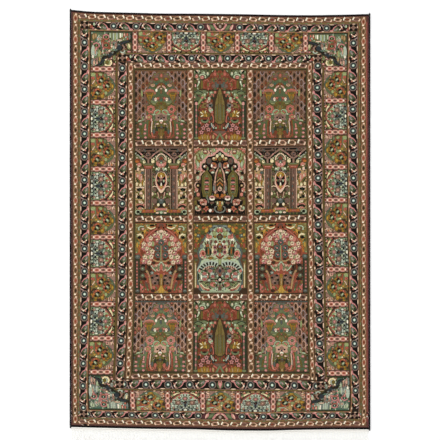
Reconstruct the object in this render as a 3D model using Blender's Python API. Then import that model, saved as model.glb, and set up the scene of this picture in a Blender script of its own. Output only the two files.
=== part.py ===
"""A hand-knotted wool rug of about 5 by 7 feet, lying flat.

A pile sheet with uneven ends lies between two dark overcast cords along its sides and two dark
woven bands at its ends. Beyond the lower band, a pale woven strip carries the fringe.

The origin is the middle of the pile's underside. +X runs across the rug, +Y runs along it towards
the end with no fringe, and every piece rests on the plane z = 0. All sizes are in metres.
"""

import math
import random
from collections import namedtuple

import bpy

# The whole rug
RUG_WIDTH = 1.524  # over both side cords
HALF_LENGTH = 1.056  # from the middle to the outer edge of either end band
SEAM_GAP = 0.0003  # between pieces that touch

# The pile and what edges it
PILE_THICKNESS = 0.008
CORD_RADIUS = 0.0035
CORD_OVERHANG = 0.007  # how far a side cord stands past the end band
CORD_TIP_SHARE = 0.55  # a cord's radius at its very end, as a share of its full radius
BAND_THICKNESS = 0.0055
TOP_BAND_WIDTH = 0.008
BOTTOM_BAND_WIDTH = 0.0090

# The pale strip and its fringe
STRIP_WIDTH = 0.014
STRIP_THICKNESS = 0.0025
STRANDS = 200
STRAND_LENGTH = 0.069
STRAND_LENGTH_SPREAD = 0.006
STRAND_ROOT_WIDTH = 0.0038
STRAND_TIP_WIDTH = 0.0024
STRAND_LEAN = 0.007  # the most that the fringe's tips sweep to one side together
STRAND_STRAY = 0.0005  # how far one strand's middle or tip strays by itself
MIDDLE_LEAN_SHARE = 0.3  # a strand's middle has swept this much of the way its tip has

# The fringe lies in slow waves: each is a share of the lean, the strands it takes to turn through
# one radian, and where it starts.
LeanWave = namedtuple("LeanWave", "share strands start")
LEAN_WAVES = (
    LeanWave(share=0.6, strands=9.0, start=0.0),
    LeanWave(share=0.4, strands=5.3, start=1.0),
)

# How finely a curved end is followed
END_STEPS = 38
CORD_STEPS = 24

# The two ends of a hand-knotted rug aren't straight. Each row is a place across the rug, and how far
# each end reaches there beyond HALF_LENGTH.
EndStation = namedtuple("EndStation", "across top bottom")
END_STATIONS = (
    EndStation(across=-0.762, top=+0.0213, bottom=-0.0167),
    EndStation(across=-0.660, top=+0.0122, bottom=-0.0142),
    EndStation(across=-0.540, top=+0.0084, bottom=-0.0112),
    EndStation(across=-0.420, top=+0.0056, bottom=-0.0086),
    EndStation(across=-0.300, top=+0.0025, bottom=-0.0066),
    EndStation(across=-0.110, top=+0.0015, bottom=-0.0045),
    EndStation(across=+0.010, top=+0.0000, bottom=+0.0000),
    EndStation(across=+0.130, top=-0.0015, bottom=+0.0015),
    EndStation(across=+0.250, top=-0.0043, bottom=+0.0018),
    EndStation(across=+0.375, top=-0.0061, bottom=-0.0018),
    EndStation(across=+0.500, top=-0.0061, bottom=-0.0038),
    EndStation(across=+0.620, top=-0.0041, bottom=-0.0048),
    EndStation(across=+0.762, top=-0.0005, bottom=-0.0046),
)

# Colour and roughness of each material
Finish = namedtuple("Finish", "red green blue roughness")
FINISHES = {
    "pile": Finish(red=0.145, green=0.110, blue=0.082, roughness=0.92),
    "selvedge": Finish(red=0.010, green=0.009, blue=0.009, roughness=0.85),
    "end_weave": Finish(red=0.022, green=0.014, blue=0.012, roughness=0.88),
    "fringe": Finish(red=0.800, green=0.760, blue=0.680, roughness=0.90),
}

HALF_WIDTH = RUG_WIDTH / 2
CORD_CENTRE = HALF_WIDTH - CORD_RADIUS
CLOTH_HALF_WIDTH = HALF_WIDTH - 2 * CORD_RADIUS - SEAM_GAP


def clear_scene():
    for item in list(bpy.data.objects):
        bpy.data.objects.remove(item, do_unlink=True)


def fabric(name):
    finish = FINISHES[name]
    made = bpy.data.materials.new(name)
    made.use_nodes = True
    surface = made.node_tree.nodes["Principled BSDF"]
    surface.inputs["Base Color"].default_value = (finish.red, finish.green, finish.blue, 1.0)
    surface.inputs["Roughness"].default_value = finish.roughness
    surface.inputs["Metallic"].default_value = 0.0
    return made


def hermite(before, start, end, after, share):
    """A smooth curve from start to end that passes through both, share of the way along."""
    leave = (end - before) / 2
    arrive = (after - start) / 2
    square, cube = share**2, share**3
    return (
        start * (2 * cube - 3 * square + 1)
        + leave * (cube - 2 * square + share)
        + end * (3 * square - 2 * cube)
        + arrive * (cube - square)
    )


def end_reach(which, across):
    """How far from the middle the named end lies, at one place across the rug."""
    last = len(END_STATIONS) - 1
    at = 0
    while at < last - 1 and across > END_STATIONS[at + 1].across:
        at += 1
    here, there = END_STATIONS[at], END_STATIONS[at + 1]
    share = (across - here.across) / (there.across - here.across)
    values = [getattr(END_STATIONS[min(max(at + step, 0), last)], which) for step in (-1, 0, 1, 2)]
    return HALF_LENGTH + hermite(*values, share)


def top_line(inset):
    """Points along the upper end, left to right, moved inset towards the middle."""
    stations = [CLOTH_HALF_WIDTH * (2 * step / END_STEPS - 1) for step in range(END_STEPS + 1)]
    return [(x, end_reach("top", x) - inset) for x in stations]


def bottom_line(inset):
    """Points along the lower end, left to right, moved inset towards the middle."""
    stations = [CLOTH_HALF_WIDTH * (2 * step / END_STEPS - 1) for step in range(END_STEPS + 1)]
    return [(x, inset - end_reach("bottom", x)) for x in stations]


def flat_piece(collection, name, outline, thickness, finish):
    """A sheet of one thickness with the given outline, resting on z = 0."""
    shape = bpy.data.curves.new(name, "CURVE")
    shape.dimensions = "2D"
    shape.fill_mode = "BOTH"
    shape.extrude = thickness / 2
    edge = shape.splines.new("POLY")
    edge.points.add(len(outline) - 1)
    for point, (x, y) in zip(edge.points, outline):
        point.co = (x, y, 0.0, 1.0)
    edge.use_cyclic_u = True
    shape.materials.append(finish)
    piece = bpy.data.objects.new(name, shape)
    piece.location = (0.0, 0.0, thickness / 2)
    collection.objects.link(piece)
    return piece


def side_cord(collection, name, side, finish):
    """The overcast cord along one long side: side is -1 for the left and +1 for the right."""
    low = -end_reach("bottom", side * CLOTH_HALF_WIDTH) - CORD_OVERHANG
    high = end_reach("top", side * CLOTH_HALF_WIDTH) + CORD_OVERHANG
    shape = bpy.data.curves.new(name, "CURVE")
    shape.dimensions = "3D"
    shape.bevel_depth = CORD_RADIUS
    shape.bevel_resolution = 2
    shape.use_fill_caps = True
    line = shape.splines.new("POLY")
    heights = [low, low + CORD_OVERHANG]
    heights += [low + (high - low) * step / CORD_STEPS for step in range(1, CORD_STEPS)]
    heights += [high - CORD_OVERHANG, high]
    line.points.add(len(heights) - 1)
    for point, y in zip(line.points, heights):
        at_tip = y in (low, high)
        point.radius = CORD_TIP_SHARE if at_tip else 1.0
        point.co = (0.0, y, CORD_RADIUS * point.radius, 1.0)
    shape.materials.append(finish)
    cord = bpy.data.objects.new(name, shape)
    cord.location = (side * CORD_CENTRE, 0.0, 0.0)
    collection.objects.link(cord)
    return cord


def strand_outline(index, picks):
    """The free edge of one fringe strand, from its left root round its tip to its right root."""
    pitch = 2 * CLOTH_HALF_WIDTH / STRANDS
    root_x = -CLOTH_HALF_WIDTH + (index + 0.5) * pitch
    root_y = -end_reach("bottom", root_x) - SEAM_GAP - STRIP_WIDTH
    length = STRAND_LENGTH + STRAND_LENGTH_SPREAD * picks.uniform(-1, 1)
    # Neighbours lean together, so that no two strands meet.
    sway = sum(wave.share * math.sin(index / wave.strands + wave.start) for wave in LEAN_WAVES)
    lean = STRAND_LEAN * sway
    middle_x = root_x + MIDDLE_LEAN_SHARE * lean + STRAND_STRAY * picks.uniform(-1, 1)
    tip_x = root_x + lean + STRAND_STRAY * picks.uniform(-1, 1)
    middle_width = (STRAND_ROOT_WIDTH + STRAND_TIP_WIDTH) / 2
    return [
        (root_x - STRAND_ROOT_WIDTH / 2, root_y),
        (middle_x - middle_width / 2, root_y - 0.5 * length),
        (tip_x - STRAND_TIP_WIDTH / 2, root_y - length),
        (tip_x + STRAND_TIP_WIDTH / 2, root_y - length),
        (middle_x + middle_width / 2, root_y - 0.5 * length),
        (root_x + STRAND_ROOT_WIDTH / 2, root_y),
    ]


def fringe_outline():
    """The pale strip's inner edge, right to left, and then every strand, left to right."""
    picks = random.Random(11)
    strip_top = bottom_line(-SEAM_GAP)[::-1]
    left, right = -CLOTH_HALF_WIDTH, CLOTH_HALF_WIDTH
    outline = list(strip_top)
    outline.append((left, -end_reach("bottom", left) - SEAM_GAP - STRIP_WIDTH))
    for index in range(STRANDS):
        outline += strand_outline(index, picks)
    outline.append((right, -end_reach("bottom", right) - SEAM_GAP - STRIP_WIDTH))
    return outline


def build_rug():
    rug = bpy.data.collections.new("persian_rug")
    bpy.context.scene.collection.children.link(rug)
    finishes = {name: fabric(name) for name in FINISHES}

    pile_edge = top_line(TOP_BAND_WIDTH + SEAM_GAP)
    pile_edge += bottom_line(BOTTOM_BAND_WIDTH + SEAM_GAP)[::-1]
    flat_piece(rug, "pile_field", pile_edge, PILE_THICKNESS, finishes["pile"])

    side_cord(rug, "selvedge_left", -1, finishes["selvedge"])
    side_cord(rug, "selvedge_right", +1, finishes["selvedge"])

    top_band = top_line(0.0) + top_line(TOP_BAND_WIDTH)[::-1]
    flat_piece(rug, "end_band_top", top_band, BAND_THICKNESS, finishes["end_weave"])
    bottom_band = bottom_line(BOTTOM_BAND_WIDTH) + bottom_line(0.0)[::-1]
    flat_piece(rug, "end_band_bottom", bottom_band, BAND_THICKNESS, finishes["end_weave"])

    flat_piece(rug, "fringe_bottom", fringe_outline(), STRIP_THICKNESS, finishes["fringe"])


clear_scene()
build_rug()
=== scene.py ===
# %% [markdown]
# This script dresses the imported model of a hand-knotted wool rug. The frame gives the solids at
# their real size; each visible piece here stands for one of them, in the same place.

# %% Load the frame
import math
import random

import bpy
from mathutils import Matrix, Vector
from mathutils.geometry import delaunay_2d_cdt


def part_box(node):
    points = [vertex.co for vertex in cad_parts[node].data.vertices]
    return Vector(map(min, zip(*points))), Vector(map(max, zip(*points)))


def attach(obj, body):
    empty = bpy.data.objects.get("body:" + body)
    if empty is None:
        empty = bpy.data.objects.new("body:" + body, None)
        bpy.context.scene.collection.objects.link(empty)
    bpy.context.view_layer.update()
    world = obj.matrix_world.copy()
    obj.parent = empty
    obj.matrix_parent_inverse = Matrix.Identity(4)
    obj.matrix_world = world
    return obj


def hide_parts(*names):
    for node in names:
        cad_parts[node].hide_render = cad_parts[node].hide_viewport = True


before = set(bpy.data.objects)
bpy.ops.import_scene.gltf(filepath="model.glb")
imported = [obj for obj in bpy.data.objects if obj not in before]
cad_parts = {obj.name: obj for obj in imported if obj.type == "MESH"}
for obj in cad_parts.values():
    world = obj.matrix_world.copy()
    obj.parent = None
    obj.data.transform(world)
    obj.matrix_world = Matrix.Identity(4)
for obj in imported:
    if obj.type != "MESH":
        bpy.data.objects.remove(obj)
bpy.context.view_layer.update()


# %% [markdown]
# A carpet's pattern starts as a cartoon: flat shapes drawn on squared paper, one colour of yarn
# each. The script draws its own cartoon in the same way. One square is about five millimetres of
# the rug. x runs from left to right and y runs down from the rug's upper end.

# %% Squared paper and yarns
WIDE, LONG = 300.6, 416.8  # the rug in squares
RUG_WIDTH = 1.524  # metres: five feet
SQUARE = RUG_WIDTH / WIDE  # metres
PHOTO_PIXEL = SQUARE  # one pixel of the photo is one square
MIDDLE = 150.4  # the pattern's middle line, which isn't quite the rug's
PILE_LEFT, PILE_RIGHT = 1.44, WIDE - 1.44
PILE_TOP, PILE_BOTTOM = 1.64, LONG - 1.83
RIM = 0.9  # squares of the pile's edge that bend down
LONGEST_EDGE = 12.0  # squares: a longer edge is split, so that it can bend
OVAL_SIDES = ((0.75, 4), (1.35, 5), (2.6, 6), (5.0, 8), (99.0, 12))  # small ovals need few corners

# Yarns, as sRGB from 0 to 255, as judged
YARNS = {
    "ink": (20, 16, 12), "coal": (36, 29, 21), "umber": (62, 45, 31), "bark": (88, 64, 44),
    "wine": (84, 47, 50), "plum": (102, 71, 60), "walnut": (116, 86, 60), "rust": (118, 60, 40),
    "brick": (142, 75, 56), "salmon": (178, 100, 86), "dusty": (192, 128, 126), "coral": (198, 126, 112),
    "pink": (210, 150, 142), "rose": (198, 156, 136), "blush": (224, 192, 168), "ivory": (230, 212, 170),
    "white": (244, 234, 214), "clay": (150, 106, 82), "mauve": (144, 111, 99), "heather": (114, 88, 77),
    "tan": (172, 140, 98), "khaki": (122, 104, 60), "olive": (104, 92, 44), "moss": (82, 82, 45),
    "mustard": (148, 112, 42), "gold": (184, 145, 66),
    "orange": (172, 100, 50), "pine": (46, 54, 38), "green": (84, 94, 65), "sage": (108, 118, 85),
    "leaf": (146, 155, 107), "mint": (174, 186, 154), "teal": (68, 97, 80), "slate": (84, 92, 88),
    "navy": (46, 51, 56), "steel": (116, 125, 119), "mist": (172, 181, 165),
    "lilac": (160, 136, 134), "fawn": (176, 142, 116), "ice": (208, 232, 224),
}


def oval(x, y, wide, high, turn=0.0, sides=0):
    """An oval by its middle, half width and half height, turned by degrees."""
    sides = sides or next(n for reach, n in OVAL_SIDES if max(wide, high) < reach)
    tilt = math.radians(turn)
    points = []
    for step in range(sides):
        angle = 2 * math.pi * (step + 0.5) / sides
        px, py = wide * math.cos(angle), high * math.sin(angle)
        points.append((x + px * math.cos(tilt) - py * math.sin(tilt),
                y + px * math.sin(tilt) + py * math.cos(tilt)))
    return points


class Cartoon:
    """Flat shapes, each in one yarn, later ones over earlier ones. A shape is a list of corners,
    or (x, y, half width, half height) for an oval, with a turn in degrees as a fifth number."""

    def __init__(self):
        self.shapes = []

    def draw(self, yarn, *shapes):
        for shape in shapes:
            self.shapes.append((yarn, shape if isinstance(shape, list) else oval(*shape)))

    def pair(self, yarn, *shapes):
        """Draws each shape and its mirror image about the line x = 0."""
        for shape in shapes:
            outline = shape if isinstance(shape, list) else oval(*shape)
            self.shapes.append((yarn, outline))
            self.shapes.append((yarn, [(-x, y) for x, y in reversed(outline)]))

    def place(self, other, x=0.0, y=0.0, across=1.0, down=1.0, lying=False):
        """Copies another drawing in, moved and stretched. -1 turns it over, and lying lays its
        upright line along x."""
        for yarn, outline in other.shapes:
            if lying:
                outline = [(py, px) for px, py in outline]
            self.shapes.append((yarn, [(x + across * px, y + down * py) for px, py in outline]))


print(len(YARNS), "yarns; one square is", round(1000 * SQUARE, 2), "mm")


# %% [markdown]
# Every motif below is built from a few kinds of outline: blocks, ovals, pointed leaves, strokes,
# fans and stars. Each function returns the corners of one outline. speckle() scatters small dots.

# %% Outlines
def block(left, top, right, bottom):
    return [(left, top), (right, top), (right, bottom), (left, bottom)]


def diamond(x, y, wide, high=None):
    high = wide if high is None else high
    return [(x, y - high), (x + wide, y), (x, y + high), (x - wide, y)]


def leaf(x0, y0, x1, y1, wide, curl=0.0):
    """A pointed leaf from one tip to the other, wide across its middle and bent by curl."""
    dx, dy = x1 - x0, y1 - y0
    long = math.hypot(dx, dy) or 1.0
    nx, ny = -dy / long, dx / long
    left, right = [], []
    for share, girth in ((0.25, 0.8), (0.5, 1.0), (0.75, 0.75)):
        bend = curl * math.sin(math.pi * share)
        px, py = x0 + dx * share + nx * bend, y0 + dy * share + ny * bend
        left.append((px + nx * wide / 2 * girth, py + ny * wide / 2 * girth))
        right.append((px - nx * wide / 2 * girth, py - ny * wide / 2 * girth))
    return [(x0, y0)] + left + [(x1, y1)] + right[::-1]


def line(points, wide, end_wide=None):
    """A stroke along the points, wide at its start and end_wide at its end."""
    end_wide = wide if end_wide is None else end_wide
    left, right = [], []
    last = len(points) - 1
    for at, (x, y) in enumerate(points):
        ax, ay = points[max(at - 1, 0)]
        bx, by = points[min(at + 1, last)]
        long = math.hypot(bx - ax, by - ay) or 1.0
        nx, ny = -(by - ay) / long, (bx - ax) / long
        half = (wide + (end_wide - wide) * at / last) / 2
        left.append((x + nx * half, y + ny * half))
        right.append((x - nx * half, y - ny * half))
    return left + right[::-1]


def bow(x, y, radius, start, end, wide, high=None, steps=5):
    """A curved stroke: part of an oval round x, y, between two angles in degrees."""
    high = radius if high is None else high
    points = []
    for step in range(steps + 1):
        angle = math.radians(start + (end - start) * step / steps)
        points.append((x + radius * math.cos(angle), y + high * math.sin(angle)))
    return line(points, wide)


def fan(x, y, radius, start, end, lobes=4, depth=0.25, high=None):
    """A fan from the point x, y, its rim cut into lobes."""
    high = radius if high is None else high
    points = [(x, y)]
    for step in range(2 * lobes + 1):
        angle = math.radians(start + (end - start) * step / (2 * lobes))
        reach = 1.0 if step % 2 else 1.0 - depth
        points.append((x + radius * reach * math.cos(angle), y + high * reach * math.sin(angle)))
    return points


def star(x, y, outer, inner, points=5, turn=-90.0, high=1.0):
    """A star or scalloped flower, its rim going in and out between two radii."""
    rim = []
    for step in range(2 * points):
        angle = math.radians(turn + 180.0 * step / points)
        reach = inner if step % 2 else outer
        rim.append((x + reach * math.cos(angle), y + high * reach * math.sin(angle)))
    return rim


def inside(outline, x, y):
    """Whether a point is inside an outline: it is if an odd number of edges pass to its right."""
    crossed = 0
    for (x0, y0), (x1, y1) in zip(outline, outline[1:] + outline[:1]):
        if (y0 > y) != (y1 > y):
            crossed += (x1 - x0) * (y - y0) / (y1 - y0) + x0 > x
    return crossed % 2 == 1


def signed_area(points):
    """The area inside an outline, negative if its corners run the other way round."""
    edges = zip(points, points[1:] + points[:1])
    return sum(x0 * y1 - x1 * y0 for (x0, y0), (x1, y1) in edges) / 2


def speckle(draw, yarns, outline, count, size=0.9, seed=1, tall=1.0):
    """Scatters small dots of several yarns inside an outline, as a weaver breaks up a flat ground.
    draw is a cartoon's draw or pair."""
    chance = random.Random(seed)
    (left, right), (top, bottom) = ((min(c), max(c)) for c in zip(*outline))
    while count:
        x, y = chance.uniform(left, right), chance.uniform(top, bottom)
        if inside(outline, x, y):
            wide, high = (size * chance.uniform(0.6, 1.3) for _ in range(2))
            draw(chance.choice(yarns), diamond(x, y, wide, high * tall))
            count -= 1


print("outlines ready: a sample leaf has", len(leaf(0, 0, 0, 5, 2)), "corners")


# %% [markdown]
# A weaver's cartoon outlines its flowers and leaves in a dark yarn, no more than a knot wide, which
# is what makes so fine a pattern read from across a room. This adds those outlines to a finished
# drawing.

# %% Dark outlines
OUTLINE = 0.3  # squares
SMALLEST_OUTLINED, LARGEST_OUTLINED = 1.6, 42.0  # areas: a smaller shape is a dot, a larger a ground
DULL = 84  # a yarn no brighter than this gets no outline
PALE = 150  # a yarn brighter than this gets the darker of the two outlines


def grown(points, by):
    """The outline, moved outwards by a distance."""
    side = 1.0 if signed_area(points) > 0 else -1.0
    out = []
    for before, (x, y), after in zip(points[-1:] + points[:-1], points, points[1:] + points[:1]):
        nx, ny = 0.0, 0.0
        for (x0, y0), (x1, y1) in ((before, (x, y)), ((x, y), after)):
            long = math.hypot(x1 - x0, y1 - y0) or 1.0
            nx += (y1 - y0) / long
            ny -= (x1 - x0) / long
        long = math.hypot(nx, ny) or 1.0
        reach = side * by * min(1.7, 2.0 / long)
        out.append((x + nx / long * reach, y + ny / long * reach))
    return out


def brightness(yarn):
    r, g, b = YARNS[yarn]
    return 0.3 * r + 0.6 * g + 0.1 * b


def dyed(drawing, swaps):
    """The drawing again, with some of its yarns swapped for others."""
    p = Cartoon()
    p.shapes = [(swaps.get(yarn, yarn), outline) for yarn, outline in drawing.shapes]
    return p


def outlined(drawing, smallest=SMALLEST_OUTLINED):
    """The drawing with a dark line round its middle-sized light shapes."""
    p = Cartoon()
    for yarn, outline in drawing.shapes:
        middle_sized = smallest < abs(signed_area(outline)) < LARGEST_OUTLINED
        if middle_sized and brightness(yarn) > DULL:
            p.draw("umber" if brightness(yarn) > PALE else "bark", grown(outline, OUTLINE))
        p.draw(yarn, outline)
    return p


print("the dark outlines are", round(1000 * SQUARE * OUTLINE, 1), "mm wide")


# %% [markdown]
# The narrow guards come in two kinds. A chain guard repeats one ring; a rosette guard repeats a
# small flower with a spray of leaves between it and the next.

# %% Chain guards
LINK_WIDE, LINK_LONG = 5.0, 10.0  # a ring of an upright chain, as drawn
LYING_HIGH, LYING_LONG = 4.8, 9.6  # and of a lying one


def chain_link(turn):
    """One ring of an upright chain, about its middle: a pale ring, bright at both ends, with a dark
    heart."""
    p = Cartoon()
    p.draw(("rose", "fawn")[turn % 2], (0, 0, 2.2, 3.7, 0, 7))
    p.draw(("clay", "walnut")[turn % 2], (0, 0, 1.6, 2.8))
    p.draw(("rust", "bark", "brick", "umber")[turn % 4], (0.1, 0, 1.2, 1.7))
    p.draw("blush", (0.5, -3.7, 1.2, 1), (-0.5, 3.6, 1.2, 1.1))
    p.draw("white", (-0.5, 3.8, 0.8, 0.6))
    return p


def lying_link(turn):
    """One ring of a lying chain, with a bright slanted stroke at one end and a curl at the other."""
    p = Cartoon()
    p.draw(("rose", "fawn", "mauve")[turn % 3], (0.2, 0, 3.4, 2.1))
    p.draw(("walnut", "bark", "plum")[turn % 3], (0.2, 0, 2.6, 1.4))
    p.draw(("umber", "rust", "plum", "bark")[turn % 4], (0.2, 0, 1.6, 0.9))
    p.draw("blush", line([(2.2, 2), (3.4, 1.2), (3.9, -0.4)], 1.2))
    p.draw("white", line([(-2, -2.2), (-3.3, -0.6), (-3.5, 0.8)], 1.4, 1))
    return p


def upright_chain(p, x, top, bottom, wide):
    for yarn, reach in (("umber", 0.5), ("walnut", 0)):
        p.draw(yarn, block(x - wide / 2 - reach, top, x + wide / 2 + reach, bottom))
    count = round((bottom - top) / LINK_LONG)
    step = (bottom - top) / count
    for turn in range(count):
        p.place(chain_link(turn), x, top + (turn + 0.5) * step, wide / LINK_WIDE, step / LINK_LONG)


def lying_chain(p, y, left, right, high):
    """A chain across the rug, its two halves mirror images about the middle."""
    for yarn, reach in (("umber", 0.4), ("clay", 0), ("bark", -0.5)):
        p.draw(yarn, block(left, y - high / 2 - reach, right, y + high / 2 + reach))
    for side, reach in ((-1, MIDDLE - left), (1, right - MIDDLE)):
        count = round(reach / LYING_LONG)
        step = reach / count
        for turn in range(count):
            x = MIDDLE + side * (turn + 0.5) * step
            p.place(lying_link(turn), x, y, side * step / LYING_LONG, high / LYING_HIGH)


print("a ring of a chain has", len(chain_link(0).shapes), "shapes")


# %% [markdown]
# Beside each chain runs a guard, which is a band of rosettes. A rosette is a few ovals inside one
# another, and a spray of leaves runs from one to the next. Across the rug's two ends, the halves of
# a guard meet in a small tent or flame.

# %% Rosette guards
GUARD_WIDE = 8.4  # a rosette guard, as drawn
SPRAY_LONG = 22.5  # from one rosette to the next, as drawn
BEYOND_SIDE, BEYOND_END = 22.8, 21.5  # how far the last spray of a side or an end reaches
TENT_REACH, FLAME_REACH = 15.5, 3.5  # half the width of each middle, as drawn
MIDDLE_TALL = 7.7
WIDEST_FLAME = 8  # a wider gap in the middle of a guard gets the tent


def rosette():
    p = Cartoon()
    for yarn, wide, high in (("mauve", 3.8, 3.9), ("slate", 3.3, 3.4), ("navy", 2.7, 2.8),
                             ("pine", 1.9, 2), ("mist", 1.4, 1.4), ("ice", 0.9, 0.9)):
        p.draw(yarn, (0, 0, wide, high))
    return p


def leaf_spray():
    """What grows between two rosettes: the first is at y = 0 and the next at y = SPRAY_LONG."""
    p = Cartoon()
    p.draw("ink", [(-3.6, 3.2), (1, 3.9), (1.8, 5.2), (-0.6, 7.8), (-3, 8.6)])
    p.draw("blush", (-3.7, 5.4, 0.5, 2.6), (4, 5.6, 0.4, 2))
    p.draw("dusty", line([(3.7, 3.4), (2.6, 6.4), (-0.4, 7.9), (-2.6, 10.8)], 1.8, 0.7))
    p.draw("mauve", line([(-2.6, 10.8), (-3.3, 13.2), (-2.9, 14.6)], 0.7, 1.2))
    p.draw("green", [(0.6, 8.4), (2.6, 7.2), (4, 8.6), (4, 12.4), (2.4, 13.6), (-0.6, 13), (-1.8, 11.4)])
    p.draw("steel", (2.2, 8.7, 1.3, 1))
    p.draw("lilac", (1.6, 10.6, 1.7, 0.7, -40))
    p.draw("pine", (-0.6, 12.2, 1.6, 0.9, -35))
    p.draw("ink", (-3.4, 10.6, 0.7, 1.6), (3.3, 15.2, 1, 1.8),
            [(-2, 16.8), (0.4, 17), (2.6, 18.3), (1.6, 19.3), (-1.2, 18.3)])
    p.draw("rose", line([(-2.9, 14.2), (-1, 15.9), (1, 14.9), (2.4, 13.2)], 1.8, 0.8))
    p.draw("white", (-0.9, 15.9, 1, 0.6), (1.8, 13.9, 0.6, 0.7))
    p.draw("coral", (0.9, 16.4, 0.9, 0.5))
    p.draw("lilac", line([(-3.8, 17.2), (-0.8, 19.1)], 1))
    p.draw("blush", (3.9, 18.9, 0.6, 1.4))
    return p


def tent():
    """The middle of the outer guard: pink arms spread from a small pale bud, with leaves beside them."""
    p = Cartoon()
    p.pair("umber", [(0, -3.5), (5.6, -3.5), (3.2, 0.4), (0, 2.8)], (12.4, 3, 2.2, 0.9))
    p.pair("green", leaf(4.6, 3.4, 11, -3, 4.4))
    p.pair("sage", leaf(6, 2, 10, -2.2, 1.9))
    p.pair("dusty", line([(0.4, 3.2), (3.6, 1.4), (6.4, -3.2)], 1.8), leaf(9.8, 3.4, 13.2, -3.2, 2.9))
    p.pair("blush", line([(1.4, 2.2), (3.4, 1)], 0.8), line([(11.2, 2), (12.8, -2)], 0.8),
            (2.2, -3.6, 0.9, 0.6), (4.6, -3.6, 0.7, 0.5), (14.6, 3.4, 1.4, 0.6))
    p.pair("wine", leaf(13, 3, 15.4, -3.4, 2.6))
    p.draw("mauve", (0, -0.8, 1.5, 2.1))
    p.draw("mist", (0, -0.8, 0.8, 1.3))
    p.draw("plum", (0, -0.8, 0.4, 0.8))
    return p


def flame():
    """The middle of the inner guard, between two rosettes."""
    p = Cartoon()
    p.draw("green", (0, 0, 3.4, 3.2))
    p.draw("dusty", [(-1.6, 3.4), (-1.9, 0.4), (0, -3.4), (1.9, 0.4), (1.6, 3.4)])
    p.draw("pink", (0, 0.4, 0.8, 1.8))
    p.draw("moss", (0, 2.6, 0.7, 0.9))
    return p


def upright_guard(p, x, top, bottom, places, wide, side):
    """A rosette guard down a side. side turns its leaves over for the right of the rug."""
    p.draw("coal", block(x - wide / 2, top, x + wide / 2, bottom))
    p.draw("mauve", block(x - side * wide / 2, top, x - side * (wide / 2 - 0.4), bottom))
    p.draw("clay", block(x + side * (wide / 2 - 0.6), top, x + side * wide / 2, bottom))
    starts, ends = (places[0] - BEYOND_SIDE,) + places, places + (places[-1] + BEYOND_SIDE,)
    for near, far in zip(starts, ends):
        p.place(leaf_spray(), x, near, side * wide / GUARD_WIDE, (far - near) / SPRAY_LONG)
    for y in places:
        p.place(rosette(), x, y, wide / GUARD_WIDE, 1.0)


def lying_guard(p, y, left, right, offsets, high, flip):
    """A rosette guard across the rug, mirrored about its middle. flip turns its leaves over for the
    rug's lower end."""
    p.draw("coal", block(left, y - high / 2, right, y + high / 2))
    p.draw("mauve", block(left, y - high / 2, right, y - high / 2 + 0.4),
           block(left, y + high / 2 - 0.4, right, y + high / 2))
    for side in (-1, 1):
        for near, far in zip(offsets, offsets[1:] + (offsets[-1] + BEYOND_END,)):
            long = side * (far - near) / SPRAY_LONG
            p.place(leaf_spray(), MIDDLE + side * near, y, long, flip * high / GUARD_WIDE, lying=True)
        for near in offsets:
            p.place(rosette(), MIDDLE + side * near, y, 1.0, high / GUARD_WIDE)
        # the odd leaves between the last rosette and the corner
        for yarn, near, low, wide, tall in (
                ("brick", 22.5, 1, 2, 1.8), ("mint", 19.5, -1.4, 1, 1.6), ("blush", 23.5, -0.8, 1, 0.8),
                ("sage", 26, -1.8, 1.4, 1), ("blush", 26, 2, 0.7, 1.2), ("dusty", 20.5, 2.4, 1.3, 0.7),
                ("pine", 24.4, 1.4, 0.8, 0.8)):
            p.draw(yarn, (MIDDLE + side * (offsets[-1] + near), y + low, wide, tall))
    gap = offsets[0] - 4
    motif, drawn_reach = (tent(), TENT_REACH) if gap > WIDEST_FLAME else (flame(), FLAME_REACH)
    p.place(motif, MIDDLE, y, gap / drawn_reach, flip * high / MIDDLE_TALL)


def corner_star():
    """The block where two guards meet."""
    p = Cartoon()
    p.draw("bark", block(-4.2, -4.2, 4.2, 4.2))
    p.draw("ink", *(block(x - 1.4, y - 1.4, x + 1.4, y + 1.4) for x in (-2.4, 2.4) for y in (-2.3, 2.3)))
    p.draw("mauve", star(0, 0, 3.1, 1.5, 4))
    p.draw("heather", diamond(0, 0, 1.4))
    p.draw("blush", (-4, 0.5, 0.5, 1.4), (4, -0.5, 0.5, 1.4), (0.4, -4, 1.6, 0.5))
    return p


print("a rosette has", len(rosette().shapes), "shapes and its spray", len(leaf_spray().shapes))


# %% [markdown]
# The main border is a row of tiles. Two kinds take turns: a gold dome with three flowers, and a
# grey flower ground under a red arch. Both point towards the rug's middle. They are drawn with
# their outer edge at x = 0 and are 25 squares deep.

# %% The gold dome tile
def dome_flower(turn):
    """A ragged dark flower with a bright slanted heart, its red petals showing on one side."""
    p = Cartoon()
    for step in range(5):
        angle = math.radians(turn + 34 * step)
        p.draw(("orange", "brick", "salmon")[step % 3],
                (3.5 * math.cos(angle), 3.5 * math.sin(angle), 1.5, 1.3, turn + 34 * step))
    for step in (6, 8):
        angle = math.radians(turn + 36 * step)
        p.draw("mustard", (3.4 * math.cos(angle), 3.4 * math.sin(angle), 1.4, 1.3, turn + 36 * step))
    p.draw("moss", (0, 0, 2.8, 2.8))
    p.draw("ink", (0.9, -1.9, 2, 1, 20), (-1.9, 1.3, 1.4, 1.2, 30), (2.1, 1.7, 1.1, 0.9))
    p.draw("sage", (0, 0.1, 1.3, 2.3, -50))
    p.draw("mint", (-0.2, -0.1, 0.8, 1.7, -50))
    return p


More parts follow.
